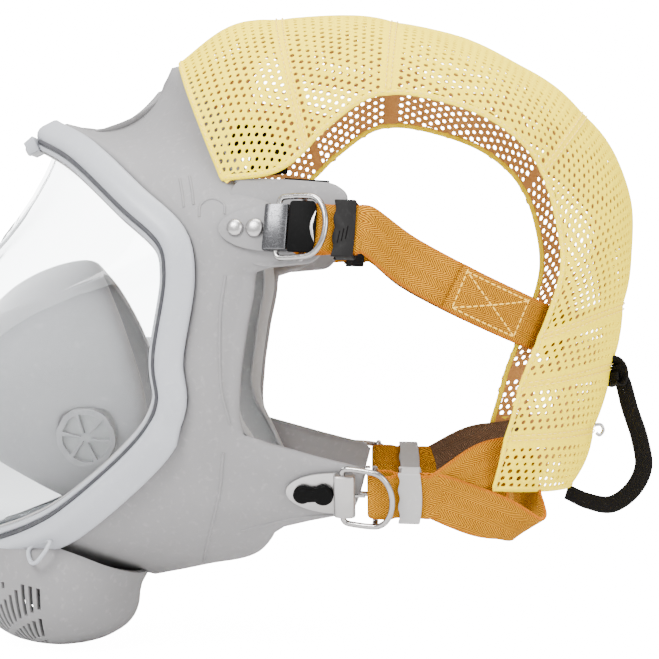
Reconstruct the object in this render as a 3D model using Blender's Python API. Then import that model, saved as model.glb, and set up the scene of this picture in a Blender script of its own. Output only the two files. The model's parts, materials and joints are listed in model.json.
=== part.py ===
"""Full-face breathing mask with its head harness, as separate solids.

Metres, +Z up. The wearer looks along -Y, their left is +X, and X = 0 is the plane of symmetry.
The origin is the middle of the head that wears it. Layout points are written in millimetres for a
head of STANDARD_BREADTH x STANDARD_LENGTH x STANDARD_HEIGHT and scaled to the sizes set below.
Pieces that touch keep the running gap CLEAR between them.
"""
import math

import bmesh
import bpy
import numpy as np
from mathutils import Matrix, Vector

MM = 0.001

# Overall sizes
HEAD_BREADTH = 0.150
HEAD_LENGTH = 0.200
HEAD_HEIGHT = 0.190
STANDARD_BREADTH, STANDARD_LENGTH, STANDARD_HEIGHT = 0.150, 0.200, 0.190

# Walls and sections
CLEAR = 0.0003
SKIRT_WALL = 0.0028
SEAL_WALL = 0.0016
LENS_WALL = 0.0024
CUP_WALL = 0.0020
NET_WALL = 0.0016
COVER_WALL = 0.0022
FRAME_WIDTH = 0.010
FRAME_DEPTH = 0.012
GROOVE_DEPTH = 0.006
GROOVE_EASE = 0.0002  # the lens rim bends between stations, so its groove is a little wider

# Inlet port and valves
PORT_RADIUS = 0.0210
PORT_WALL = 0.0028
PORT_REACH = 0.0120
VALVE_RADIUS = 0.0132
VALVE_RIM = 0.0026
VALVE_DISC_RADIUS = VALVE_RADIUS - 0.8 * VALVE_RIM
DISC_WALL = 0.0010
EXHALE_RADIUS = 0.0140
DIAPHRAGM_RADIUS = 0.0155
SPRING_WIRE = 0.0005
SPRING_HEIGHT = 0.0075

# Webbing and buckles
WEBBING_WIDTH = 0.0200
WEBBING_WALL = 0.0015
WIRE_RADIUS = 0.0012
BAR_RADIUS = 0.0012
CLIP_WALL = 0.0010
RING_DEPTH = 0.0205
SLIDE_LENGTH = 0.0085
SLIDE_WALL = 0.0011
FRONT_STUD_RADIUS = 0.0030
REAR_STUD_RADIUS = 0.0044
LOOP_WIDTH = 0.0085
LOOP_WALL = 0.0016

STATIONS = 64
SIDES = {"left": 1.0, "right": -1.0}


# ---------------------------------------------------------------- helpers
def at(x, y, z):
    """A layout point, given in millimetres on the standard head."""
    return Vector((
        x * MM * HEAD_BREADTH / STANDARD_BREADTH,
        y * MM * HEAD_LENGTH / STANDARD_LENGTH,
        z * MM * HEAD_HEIGHT / STANDARD_HEIGHT,
    ))


def mirrored(p, side):
    return Vector((p.x * side, p.y, p.z))


def between(p, q, start, stop, t):
    return p + (q - p) * (t - start) / (stop - start)


def smooth(points, count, closed=False):
    """A smooth curve through the points (centripetal Catmull-Rom), at evenly spaced places."""
    pts = [np.array(p) for p in points]
    n = len(pts)
    fine = []
    for i in range(n if closed else n - 1):
        if closed:
            four = [pts[(i + k) % n] for k in (-1, 0, 1, 2)]
        else:
            before = pts[i - 1] if i else 2 * pts[i] - pts[i + 1]
            after = pts[i + 2] if i + 2 < n else 2 * pts[i + 1] - pts[i]
            four = [before, pts[i], pts[i + 1], after]
        knots = np.concatenate([[0], np.cumsum([np.linalg.norm(q - p) ** 0.5 for p, q in zip(four, four[1:])])])
        for t in np.linspace(knots[1], knots[2], 16, endpoint=False):
            a1, a2, a3 = (between(four[j], four[j + 1], knots[j], knots[j + 1], t) for j in range(3))
            b1 = between(a1, a2, knots[0], knots[2], t)
            b2 = between(a2, a3, knots[1], knots[3], t)
            fine.append(between(b1, b2, knots[1], knots[2], t))
    fine.append(pts[0] if closed else pts[-1])
    fine = np.array(fine)
    run = np.concatenate([[0], np.cumsum(np.linalg.norm(np.diff(fine, axis=0), axis=1))])
    places = np.linspace(0, run[-1], count + 1 if closed else count)
    out = np.stack([np.interp(places, run, fine[:, k]) for k in range(len(pts[0]))], axis=1)
    return [Vector(p) for p in (out[:-1] if closed else out)]


def material(name, colour, roughness, metallic=0.0, alpha=1.0):
    if name in bpy.data.materials:
        return bpy.data.materials[name]
    made = bpy.data.materials.new(name)
    made.use_nodes = True
    shader = made.node_tree.nodes["Principled BSDF"]
    shader.inputs["Base Color"].default_value = (*colour, 1.0)
    shader.inputs["Roughness"].default_value = roughness
    shader.inputs["Metallic"].default_value = metallic
    shader.inputs["Alpha"].default_value = alpha
    return made


def rubber():
    return material("pale_grey_rubber", (0.42, 0.41, 0.41), 0.6)


def frame_plastic():
    return material("light_grey_plastic", (0.72, 0.73, 0.76), 0.35)


def clear_plastic():
    return material("clear_lens", (0.95, 0.97, 0.97), 0.05, alpha=0.3)


def steel():
    return material("bright_steel", (0.75, 0.75, 0.74), 0.2, metallic=1.0)


def slide_plastic():
    return material("slide_grey", (0.12, 0.12, 0.13), 0.4)


def black_rubber():
    return material("black_rubber", (0.02, 0.02, 0.02), 0.5)


def tan_webbing():
    return material("tan_webbing", (0.72, 0.38, 0.09), 0.85)


def yellow_mesh():
    return material("yellow_mesh", (0.93, 0.84, 0.25), 0.85)


def black_webbing():
    return material("black_webbing", (0.03, 0.025, 0.025), 0.85)


def solid(name, verts, faces, look, sharp_degrees=40):
    """One object from a closed mesh, faces pointing out, shaded smooth up to the given angle."""
    mesh = bpy.data.meshes.new(name)
    mesh.from_pydata([tuple(v) for v in verts], [], faces)
    bm = bmesh.new()
    bm.from_mesh(mesh)
    bmesh.ops.remove_doubles(bm, verts=bm.verts, dist=1e-7)
    bmesh.ops.recalc_face_normals(bm, faces=bm.faces)
    bm.to_mesh(mesh)
    bm.free()
    mesh.shade_smooth()
    mesh.set_sharp_from_angle(angle=math.radians(sharp_degrees))
    mesh.materials.append(look)
    made = bpy.data.objects.new(name, mesh)
    bpy.context.scene.collection.objects.link(made)
    return made


def hang_on(made, pivot):
    """Moves an object's origin to its joint, leaving its mesh where it is."""
    made.data.transform(Matrix.Translation(-pivot))
    made.location = pivot


def loft(name, loops, look, joined=False, sharp_degrees=40):
    """Skins equal loops of points in order, with flat ends unless the run joins up."""
    size = len(loops[0])
    verts = [p for loop in loops for p in loop]
    faces = []
    last = len(loops) if joined else len(loops) - 1
    for i in range(last):
        a, b = i * size, (i + 1) % len(loops) * size
        for k in range(size):
            m = (k + 1) % size
            faces.append((a + k, a + m, b + m, b + k))
    if not joined:
        faces.append(tuple(range(size)))
        faces.append(tuple(range((len(loops) - 1) * size, len(loops) * size)))
    return solid(name, verts, faces, look, sharp_degrees)


def grid_normals(grid, wrap):
    rows, cols = len(grid), len(grid[0])
    out = []
    for i in range(rows):
        before = grid[(i - 1) % rows] if wrap or i else grid[i]
        after = grid[(i + 1) % rows] if wrap or i + 1 < rows else grid[i]
        line = []
        for j in range(cols):
            along = after[j] - before[j]
            across = grid[i][min(j + 1, cols - 1)] - grid[i][max(j - 1, 0)]
            line.append(along.cross(across).normalized())
        out.append(line)
    return out


def shell(name, grid, wall, look, wrap=True, holes=(), sharp_degrees=40):
    """A wall of even thickness about a grid of points. Cells in holes are left open."""
    rows, cols = len(grid), len(grid[0])
    normals = grid_normals(grid, wrap)
    half = wall / 2
    verts = [p + n * half for line, ns in zip(grid, normals) for p, n in zip(line, ns)]
    verts += [p - n * half for line, ns in zip(grid, normals) for p, n in zip(line, ns)]
    under = rows * cols
    cells = {(i, j) for i in range(rows if wrap else rows - 1) for j in range(cols - 1)} - set(holes)

    def index(i, j):
        return i % rows * cols + j

    def present(i, j):
        return ((i % rows if wrap else i), j) in cells

    faces = []
    for i, j in sorted(cells):
        a, b, c, d = index(i, j), index(i + 1, j), index(i + 1, j + 1), index(i, j + 1)
        faces.append((a, b, c, d))
        faces.append((d + under, c + under, b + under, a + under))
        for (p, q), there in (((a, d), present(i - 1, j)), ((c, b), present(i + 1, j)),
                              ((b, a), present(i, j - 1)), ((d, c), present(i, j + 1))):
            if not there:
                faces.append((p, q, q + under, p + under))
    return solid(name, verts, faces, look, sharp_degrees)


def across_axis(axis):
    """Two directions square to the axis and to each other."""
    first = axis.orthogonal().normalized()
    return first, axis.cross(first).normalized()


def turned(name, centre, axis, profile, look, sides=28):
    """A ring turned about an axis from a closed profile of (radius, height) points."""
    axis = axis.normalized()
    e1, e2 = across_axis(axis)
    loops = []
    for k in range(sides):
        a = 2 * math.pi * k / sides
        out = e1 * math.cos(a) + e2 * math.sin(a)
        loops.append([centre + out * r + axis * h for r, h in profile])
    return loft(name, loops, look, joined=True)


def cylinder(name, centre, axis, steps, look, sides=20):
    """A round solid: steps are (radius, height) from one end to the other."""
    axis = axis.normalized()
    e1, e2 = across_axis(axis)
    loops = []
    for r, h in steps:
        loops.append([centre + (e1 * math.cos(a) + e2 * math.sin(a)) * r + axis * h
                      for a in (2 * math.pi * k / sides for k in range(sides))])
    return loft(name, loops, look)


def wire(name, path, radius, look, joined=False, sides=8):
    """A round wire along a path of points."""
    count = len(path)
    loops = []
    previous = None
    for i, p in enumerate(path):
        if joined:
            ahead = path[(i + 1) % count] - path[i - 1]
        else:
            ahead = path[min(i + 1, count - 1)] - path[max(i - 1, 0)]
        ahead.normalize()
        e1 = ahead.orthogonal() if previous is None else previous - ahead * previous.dot(ahead)
        e1.normalize()
        previous = e1
        e2 = ahead.cross(e1)
        loops.append([p + (e1 * math.cos(a) + e2 * math.sin(a)) * radius
                      for a in (2 * math.pi * k / sides for k in range(sides))])
    return loft(name, loops, look, joined=joined, sharp_degrees=60)


def ribbon(name, path, widths, wall, look):
    """A flat band along a path. widths are the half-width vectors, one for each point."""
    count = len(path)
    loops = []
    for i, (p, half) in enumerate(zip(path, widths)):
        ahead = path[min(i + 1, count - 1)] - path[max(i - 1, 0)]
        thick = ahead.cross(half).normalized() * wall / 2
        loops.append([p + half + thick, p - half + thick, p - half - thick, p + half - thick])
    return loft(name, loops, look)


# ---------------------------------------------------------------- facepiece
RING_LINE = [
    at(0, -154.5, 71.3), at(38, -131.5, 58.5), at(59, -109, 39), at(69, -91, 22),
    at(70.5, -88.5, 8), at(68, -93.5, -27), at(66, -92.2, -42), at(61, -97, -54.5),
    at(53.5, -111, -70.5), at(41, -140.5, -94), at(26, -164.5, -103.5), at(0, -184, -107.5),
]
FACE_LINE = [
    at(0, -99, 99), at(30, -86, 82), at(52, -76, 59), at(65, -67, 33), at(68.5, -62, 8),
    at(68, -65.5, -14), at(66.5, -68, -34), at(63, -68, -50), at(58, -60, -66),
    at(50, -52, -86), at(38, -60, -104), at(20, -86, -114), at(0, -108, -121),
]
PORT_CENTRE = at(0, -196, -50)
PORT_AXIS = Vector((0, -0.985, -0.174))
TEMPLE_TIP = at(74.4, -41.8, 26)
CHEEK_TIP = at(58.5, -17, -79.5)
LUG_HALF_HEIGHT = 0.0150
BROW_DIP = 0.0135
BROW_DIP_WIDTH = 0.50


def bezier_mid(a, m, b, t):
    """A curve from a to b that passes through m half-way."""
    handle = m * 2 - (a + b) / 2
    s = 1 - t
    return a * s * s + handle * 2 * s * t + b * t * t


def whole_loop(half):
    """A closed line from its left half, which runs from the top centre to the bottom centre."""
    return half + [mirrored(p, -1) for p in half[-2:0:-1]]


class Facepiece:
    """The stations around the mask: the lens frame's line, the face's line and axes at each."""

    def __init__(self):
        half = STATIONS // 2 + 1
        self.ring = whole_loop(smooth(RING_LINE, half))
        self.face = whole_loop(smooth(FACE_LINE, half))
        self.along, self.front, self.out = [], [], []
        for k in range(STATIONS):
            along = (self.ring[(k + 1) % STATIONS] - self.ring[k - 1]).normalized()
            front = self.ring[k] - self.face[k]
            front = (front - along * front.dot(along)).normalized()
            self.along.append(along)
            self.front.append(front)
            self.out.append(front.cross(along).normalized())

    def place(self, k, out, front):
        return self.ring[k] + self.out[k] * out + self.front[k] * front

    def skirt_start(self, k):
        return self.place(k, 0, -FRAME_DEPTH / 2 - CLEAR - 0.0010)

    def waist(self, k):
        """The face blank's middle line: dipped at the brow, slightly full elsewhere."""
        middle = self.skirt_start(k).lerp(self.face[k], 0.45)
        brow = max(0.0, 1 - abs(self.ring[k].x) / (BROW_DIP_WIDTH * HEAD_BREADTH)) if self.ring[k].z > 0 else 0.0
        return middle + self.out[k] * (0.0025 - BROW_DIP * brow)

    def nearest(self, line, point):
        return min(range(STATIONS), key=lambda k: (line[k] - point).length)


class Lug:
    """A strap lug of the face blank: it leaves the blank at mid-depth and reaches back to its tip."""

    def __init__(self, mask, tip, side):
        self.tip = mirrored(tip, side)
        near = [k for k in range(STATIONS) if mask.face[k].x * side > 0]
        self.station = min(near, key=lambda k: abs(mask.waist(k).z - tip.z))
        self.base = mask.waist(self.station)
        self.reach = self.tip - self.base

    def share(self, mask, k):
        """How fully a station belongs to the lug, 0 to 1."""
        away = (mask.waist(k) - self.base).length / LUG_HALF_HEIGHT
        part = 1.0 if away < 0.6 else max(0.0, 1 - (away - 0.6) / 0.75)
        return part * part * (3 - 2 * part)


def make_lugs(mask):
    return {(name, side): Lug(mask, tip, sign)
            for name, tip in (("temple", TEMPLE_TIP), ("cheek", CHEEK_TIP))
            for side, sign in SIDES.items()}


def make_skirt(mask, lugs):
    """The rubber face blank, from the lens frame back to the face, with its four strap lugs."""
    grid = []
    for k in range(STATIONS):
        start, waist, face = mask.skirt_start(k), mask.waist(k), mask.face[k]
        tail = face - mask.front[k] * 0.0025
        line = [start, bezier_mid(start, waist, face, 0.25), waist,
                bezier_mid(start, waist, face, 0.72), bezier_mid(start, waist, face, 0.90), face, tail]
        best = max(lugs.values(), key=lambda lug: lug.share(mask, k))
        share = best.share(mask, k)
        if share:
            for j in range(3, 7):
                line[j] = line[j].lerp(waist + best.reach * ((j - 2) / 4), share)
        grid.append(line)
    return shell("face_blank", grid, SKIRT_WALL, rubber())


def make_seal(mask):
    """The soft inner lip that seals on the face, set inside the face blank."""
    grid = []
    for k in range(STATIONS):
        face, front, out = mask.face[k], mask.front[k], mask.out[k]
        inner = SKIRT_WALL / 2 + SEAL_WALL / 2 + CLEAR * 3
        start, waist = mask.skirt_start(k), mask.waist(k)
        line = [bezier_mid(start, waist, face, t) - out * inner for t in (0.66, 0.84, 1.0)]
        line.append(face - front * 0.0022 - out * (inner + 0.0032))
        line.append(face + front * 0.0008 - out * (inner + 0.0080))
        grid.append(line)
    return shell("face_seal", grid, SEAL_WALL, rubber())


def frame_section(k, mask):
    """The lens frame's section at a station: a channel that opens inward for the lens's rim."""
    w, d = FRAME_WIDTH / 2, FRAME_DEPTH / 2
    slot = LENS_WALL / 2 + CLEAR + GROOVE_EASE
    deep = -w + GROOVE_DEPTH
    soft, round_front = 0.0015, 0.0040
    corners = (
        (-w, -d), (w - soft, -d), (w, -d + soft), (w, d - round_front),
        (w - 0.3 * round_front, d - 0.3 * round_front), (w - round_front, d), (-w + soft, d), (-w, d - soft),
        (-w, slot), (deep, slot), (deep, -slot), (-w, -slot),
    )
    return [mask.place(k, n, f) for n, f in corners]


def make_lens_frame(mask):
    """Left and right halves of the lens frame, which meet at the top and the bottom centre."""
    half = STATIONS // 2
    for side, first in (("left", 0), ("right", half)):
        loops = []
        for k in range(first, first + half + 1):
            loop = frame_section(k % STATIONS, mask)
            if k % half == 0:
                loop = [Vector((SIDES[side] * CLEAR, p.y, p.z)) for p in loop]
            loops.append(loop)
        loft(f"lens_frame_{side}", loops, frame_plastic(), sharp_degrees=35)


def make_frame_clamp(mask):
    """The bracket that ties the two frame halves together at the top, with its screw."""
    out, front = mask.out[0], mask.front[0]
    base = mask.place(0, -FRAME_WIDTH * 0.10, FRAME_DEPTH / 2 + CLEAR)
    half_width, high, deep = 0.0085, 0.0042, 0.0050
    loops = []
    for x in (-half_width, half_width):
        side = Vector((x, 0, 0))
        loops.append([base + side - out * high, base + side + out * high * 0.7,
                      base + side + out * high * 0.4 + front * deep,
                      base + side - out * high + front * deep])
    loft("frame_clamp", loops, frame_plastic())
    head = base + front * (deep + CLEAR) - out * high * 0.3
    cylinder("frame_clamp_screw", head, front, ((0.0022, 0), (0.0022, 0.0008), (0.0015, 0.0013)), steel(), 16)


def make_eyelets(mask):
    """A small triangular eyelet under each side of the frame, for a carrying strap."""
    corner = at(38, -147, -104)
    k = mask.nearest(mask.ring, corner)
    for side, sign in SIDES.items():
        base = mask.place(k, FRAME_WIDTH / 2 + CLEAR + 0.0022, 0)
        along, out = mask.along[k], mask.out[k]
        points = [base - along * 0.0065, base + along * 0.0060,
                  base + along * 0.0025 + out * 0.0080, base - along * 0.0005 + out * 0.0085]
        path = [mirrored(p, sign) for p in smooth(points, 20, closed=True)]
        wire(f"strap_eyelet_{side}", path, 0.0010, frame_plastic(), joined=True, sides=6)


def port_hole(direction, radius, height):
    """A point of a circle about the port's axis, towards a direction."""
    axis = PORT_AXIS
    flat = (direction - axis * direction.dot(axis)).normalized()
    return PORT_CENTRE + flat * radius + axis * height


def bezier(a, b, c, d, t):
    s = 1 - t
    return a * s ** 3 + b * 3 * s * s * t + c * 3 * s * t * t + d * t ** 3


def make_lens(mask):
    """The wrap-round lens: a flat rim in the frame's groove, a dome, and a hole for the port."""
    rim = -FRAME_WIDTH / 2 + GROOVE_DEPTH - CLEAR
    widest = max(p.x for p in mask.ring)
    hole = PORT_RADIUS + PORT_WALL + CLEAR * 2
    grid = []
    for k in range(STATIONS):
        outer = mask.place(k, rim, 0)
        inner = mask.place(k, -FRAME_WIDTH / 2 - 0.0022, 0)
        side = abs(mask.ring[k].x) / widest
        leave = (mask.front[k] * (0.62 + 0.36 * side) - mask.out[k] * (0.78 - 0.62 * side)).normalized()
        edge = port_hole(inner - PORT_CENTRE, hole, 0)
        away = (edge - PORT_CENTRE).normalized()
        far = (edge - inner).length
        a, b = inner + leave * far * 0.42, edge + away * far * 0.30
        line = [outer, inner]
        line += [bezier(inner, a, b, edge, t) for t in (0.10, 0.28, 0.48, 0.68, 0.86, 1.0)]
        grid.append(line)
    return shell("lens", grid, LENS_WALL, clear_plastic())


def make_port(mask):
    """The inlet port through the lens, its nut behind the lens and its sealing ring."""
    axis = PORT_AXIS
    inner, outer = PORT_RADIUS, PORT_RADIUS + PORT_WALL
    flange = outer + 0.0035
    front = LENS_WALL / 2 + CLEAR
    back = -PORT_REACH
    profile = ((inner, back), (outer, back), (outer, front), (flange, front + 0.0006),
               (flange, front + 0.0030), (outer, front + 0.0045), (outer, PORT_REACH), (inner, PORT_REACH))
    turned("inlet_port", PORT_CENTRE, axis, profile, frame_plastic(), 36)
    grip = outer + CLEAR
    nut_front = -LENS_WALL / 2 - 0.0022
    profile = ((grip, nut_front - 0.0040), (grip + 0.0040, nut_front - 0.0040),
               (grip + 0.0040, nut_front), (grip, nut_front))
    turned("port_nut", PORT_CENTRE, axis, profile, frame_plastic(), 36)
    seat = inner - CLEAR
    profile = ((seat - 0.0026, PORT_REACH - 0.0040), (seat, PORT_REACH - 0.0040),
               (seat, PORT_REACH - 0.0015), (seat - 0.0026, PORT_REACH - 0.0015))
    turned("port_seal", PORT_CENTRE, axis, profile, black_rubber(), 36)


CUP_LINE = [
    at(0, -134, 17), at(17, -127, 6), at(29, -118, -14), at(34, -110, -42),
    at(32.5, -108, -66), at(25, -110, -88), at(0, -116, -98),
]
VALVE_PLACE = at(34, -136, -58)


def make_nose_cup():
    """The rubber cup over nose and mouth, open at the front where the port enters."""
    half = 23
    edge = whole_loop(smooth(CUP_LINE, half))
    mouth = PORT_RADIUS + PORT_WALL + 0.0010
    grid = []
    for p in edge:
        rim = port_hole(p - PORT_CENTRE, mouth, -PORT_REACH - 0.0030)
        away = (rim - PORT_CENTRE - PORT_AXIS * (rim - PORT_CENTRE).dot(PORT_AXIS)).normalized()
        far = (rim - p).length
        high = max(0.0, away.z)
        a = p - Vector((0, 1, 0)) * far * 0.35
        b = rim + away * far * (0.06 + 0.30 * high) - PORT_AXIS * far * 0.06
        inward = Vector((-p.x, 0.0, at(0, 0, -42).z - p.z)).normalized()
        line = [p + inward * 0.0060 + Vector((0, 0.0010, 0)), p]
        line += [bezier(p, a, b, rim, t) for t in (0.2, 0.38, 0.56, 0.74, 0.9, 1.0)]
        grid.append(line)
    valves = {side: valve_seat(grid, mirrored(VALVE_PLACE, sign)) for side, sign in SIDES.items()}
    holes = [cell for centre, axis in valves.values() for cell in open_for_valve(grid, centre, axis)]
    shell("nose_cup", grid, CUP_WALL, rubber(), holes=holes)
    return valves


def cell_corners(grid, i, j):
    after = (i + 1) % len(grid)
    return grid[i][j], grid[after][j], grid[after][j + 1], grid[i][j + 1]


def valve_seat(grid, place):
    """Where a valve's seat lies on the cup: the middle and the outward axis of the cell nearest the place."""
    cells = [(i, j) for i in range(len(grid)) for j in range(1, len(grid[0]) - 1)]
    a, b, c, d = min((cell_corners(grid, i, j) for i, j in cells),
                     key=lambda corners: (sum(corners, Vector()) / 4 - place).length)
    axis = (c - a).cross(d - b).normalized()
    if axis.x * place.x < 0:
        axis = -axis
    return (a + b + c + d) / 4 + axis * (CUP_WALL / 2 + CLEAR), axis


def open_for_valve(grid, centre, axis):
    """The cells to leave open under a valve, with the points about them drawn into a round hole."""
    rows, hole = len(grid), VALVE_DISC_RADIUS + 2 * CLEAR + CUP_WALL / 4
    e1, e2 = across_axis(axis)

    def off_axis(p):
        away = p - centre
        return away - axis * away.dot(axis)

    opened = {(i, j) for i in range(rows) for j in range(1, len(grid[0]) - 2)
              if off_axis(sum(cell_corners(grid, i, j), Vector()) / 4).length < hole
              and abs((grid[i][j] - centre).dot(axis)) < hole}
    rim = {}
    for i, j in opened:
        for m, n in ((i, j), ((i + 1) % rows, j), ((i + 1) % rows, j + 1), (i, j + 1)):
            if not all(((m - a) % rows, n - b) in opened for a in (0, 1) for b in (0, 1)):
                away = off_axis(grid[m][n])
                rim[m, n] = math.atan2(away.dot(e2), away.dot(e1))
    order = sorted(rim, key=rim.get)
    for k, (m, n) in enumerate(order):
        before, after = order[k - 1], order[(k + 1) % len(order)]
        gap = max((rim[m, n] - rim[before]) % (2 * math.pi), (rim[after] - rim[m, n]) % (2 * math.pi))
        away = off_axis(grid[m][n])
        grid[m][n] += away.normalized() * (hole / math.cos(gap / 2) - away.length)
    return sorted(opened)


def make_inhale_valves(valves):
    """A spoked seat and a rubber disc on each side of the nose cup."""
    for side, (centre, axis) in valves.items():
        rim, hub = VALVE_RADIUS, 0.0022
        spokes(f"inhale_seat_{side}", centre, axis, rim, hub, 0.0020, rubber())
        disc = cylinder(f"inhale_disc_{side}", centre - axis * (DISC_WALL + CLEAR), axis,
                        ((VALVE_DISC_RADIUS, 0), (VALVE_DISC_RADIUS, DISC_WALL)), rubber(), 24)
        hang_on(disc, centre)


def spokes(name, centre, axis, rim, hub, wall, look, count=6):
    """A rim and a hub joined by straight spokes, as one flat wheel with open windows."""
    e1, e2 = across_axis(axis)
    steps = count * 4
    radii = (hub, rim - VALVE_RIM, rim)
    grid = []
    for k in range(steps):
        share = 0.18 if k % 4 in (0, 1) else 0.5
        turn = (k // 4 + (0, share, 0.5, 1 - share)[k % 4]) / count * 2 * math.pi
        out = e1 * math.cos(turn) + e2 * math.sin(turn)
        grid.append([centre + out * r + axis * wall / 2 for r in radii])
    holes = [(k, 0) for k in range(steps) if k % 4 != 0]
    shell(name, grid, wall, look, holes=holes)


# ---------------------------------------------------------------- chin housing
CHIN = at(0, -152, -117)


def under_chin(x, y, z):
    """A point of the chin housing, in millimetres from CHIN: the housing holds valves of set sizes."""
    return CHIN + Vector((x, y, z)) * MM


COVER_TOP = [
    under_chin(0, -39, 0), under_chin(22, -27, 2), under_chin(37, -8, 3), under_chin(40, 9, -2),
    under_chin(31, 24, -9), under_chin(16, 33, -13), under_chin(0, 36, -14),
]
COVER_BOTTOM = under_chin(0, 0, -35)
CHIN_AXIS = Vector((0, -0.30, -0.954)).normalized()
EXHALE_PLACE = under_chin(0, 16, -14)
SPEECH_PLACE = under_chin(0, -14, -10)
SPEECH_AXIS = Vector((0, -0.62, -0.785)).normalized()


def make_chin_cover():
    """The bowl under the chin that guards the valve and the diaphragm, with slotted sides."""
    half = 17
    edge = whole_loop(smooth(COVER_TOP, half))
    grid = []
    for p in edge:
        down = Vector((0, 0, -1))
        a = p + down * abs(COVER_BOTTOM.z - p.z) * 0.75
        end = COVER_BOTTOM + (p - COVER_BOTTOM) * 0.05
        b = COVER_BOTTOM + Vector((p.x, p.y - COVER_BOTTOM.y, 0)) * 0.60
        end = Vector((end.x, end.y, COVER_BOTTOM.z))
        grid.append([bezier(p, a, b, end, t) for t in (0, 0.18, 0.30, 0.46, 0.58, 0.78, 1.0)])
    count = len(grid)
    slots = [k for k in range(count) if k % 2 and 1 < min(k, count - k) < 11]
    holes = [(k, j) for k in slots for j in (1, 3)]
    shell("chin_cover", grid, COVER_WALL, rubber(), holes=holes, sharp_degrees=30)


def make_exhale_valve():
    """Seat, rubber disc and closing spring of the exhalation valve."""
    r, axis = EXHALE_RADIUS, CHIN_AXIS
    profile = ((r - 0.0030, -0.0020), (r + 0.0020, -0.0020), (r + 0.0020, 0.0), (r - 0.0030, 0.0))
    turned("exhale_seat", EXHALE_PLACE, axis, profile, frame_plastic(), 28)
    start = EXHALE_PLACE + axis * CLEAR
    disc = cylinder("exhale_disc", start, axis,
                    ((r, 0), (r, DISC_WALL), (0.0030, DISC_WALL * 1.6)), rubber(), 28)
    hang_on(disc, EXHALE_PLACE)
    e1, e2 = across_axis(axis)
    base = start + axis * (DISC_WALL * 1.6 + SPRING_WIRE + CLEAR)
    path = []
    turns, steps = 3, 10
    for k in range(turns * steps + 1):
        a = 2 * math.pi * k / steps
        path.append(base + (e1 * math.cos(a) + e2 * math.sin(a)) * 0.0036
                    + axis * SPRING_HEIGHT * k / (turns * steps))
    wire("exhale_spring", path, SPRING_WIRE, steel(), sides=6)


def make_diaphragm():
    """The speech diaphragm: a thin foil in a clamping ring."""
    r, axis = DIAPHRAGM_RADIUS, SPEECH_AXIS
    foil = 0.0006
    profile = ((r - 0.0020, -0.0025), (r + 0.0020, -0.0025), (r + 0.0020, 0.0025), (r - 0.0020, 0.0025))
    turned("speech_ring", SPEECH_PLACE, axis, profile, frame_plastic(), 28)
    cylinder("speech_diaphragm", SPEECH_PLACE, axis,
             ((r - 0.0020 - CLEAR, -foil / 2), (r - 0.0020 - CLEAR, foil / 2)), steel(), 28)


# ---------------------------------------------------------------- buckles and straps
class Buckle:
    """Axes of one buckle: u runs back along the strap, v along the hinge wire, n away from the head.
    Its origin is the hinge wire's middle, on the outside of a lug."""

    def __init__(self, mask, lug, side, inset):
        up = mask.waist(lug.station - 1) - mask.waist((lug.station + 1) % STATIONS)
        up = up if up.z > 0 else -up
        self.u = lug.reach.normalized()
        self.v = (up - self.u * up.dot(self.u)).normalized()
        self.n = self.u.cross(self.v).normalized()
        if self.n.x * side < 0:
            self.n = -self.n
        roll = WIRE_RADIUS + CLEAR + CLIP_WALL
        self.o = lug.tip - self.u * inset + self.n * (SKIRT_WALL / 2 + 0.0009 + roll)

    def p(self, u, v, n):
        return self.o + self.u * u + self.v * v + self.n * n


def ring_half_height():
    return WEBBING_WIDTH / 2 + CLEAR + 0.0010 + WIRE_RADIUS


def ring_tilt():
    """How far the bow stands off the hinge wire, so that the webbing passes under it."""
    return BAR_RADIUS + WEBBING_WALL + WIRE_RADIUS + 3 * CLEAR


def make_clip(name, buckle, length):
    """The end clip: a half-oval plate on the lug, rolled round the hinge wire at its back."""
    r = WIRE_RADIUS + CLEAR + CLIP_WALL / 2
    base_half = WEBBING_WIDTH / 2 - 0.0005
    path, widths = [], []
    for k in range(9):
        s = math.cos(math.pi / 2 * k / 8)
        path.append(buckle.p(-length * s, 0, -r))
        widths.append(buckle.v * base_half * math.sqrt(max(0.04, 1 - s ** 2.2)))
    for k in range(1, 13):
        a = math.radians(-90 + 270 * k / 12)
        path.append(buckle.p(r * math.cos(a), 0, r * math.sin(a)))
        widths.append(buckle.v * base_half)
    return ribbon(name, path, widths, CLIP_WALL, steel())


def make_ring(name, buckle):
    """The D-shaped wire ring: a straight hinge wire and a bow, tilted off the strap."""
    h = ring_half_height()
    depth, lift, corner = RING_DEPTH, ring_tilt(), 0.0024
    outline = [(0, -h + corner), (0, -h / 2), (0, 0), (0, h / 2), (0, h - corner)]
    for a in (30, 60):
        t = math.radians(a)
        outline.append((corner * (1 - math.cos(t)), h - corner + corner * math.sin(t)))
    outline.append((corner, h))
    bow = depth - corner
    for k in range(1, 12):
        t = math.pi / 2 - math.pi * k / 12
        outline.append((corner + bow * 0.45 + bow * 0.55 * math.cos(t) ** 0.8 if k not in (0, 12) else 0,
                        h * math.sin(t)))
    outline.append((corner, -h))
    for a in (60, 30):
        t = math.radians(a)
        outline.append((corner * (1 - math.cos(t)), -h + corner - corner * math.sin(t)))
    path = [buckle.p(u, v, lift * u / depth) for u, v in outline]
    ring = wire(name, path, WIRE_RADIUS, steel(), joined=True, sides=6)
    hang_on(ring, buckle.o)


def bar_level():
    """Height of the webbing bar's centre: the webbing over it passes under the bow."""
    return -(WEBBING_WALL + CLEAR)


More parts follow.
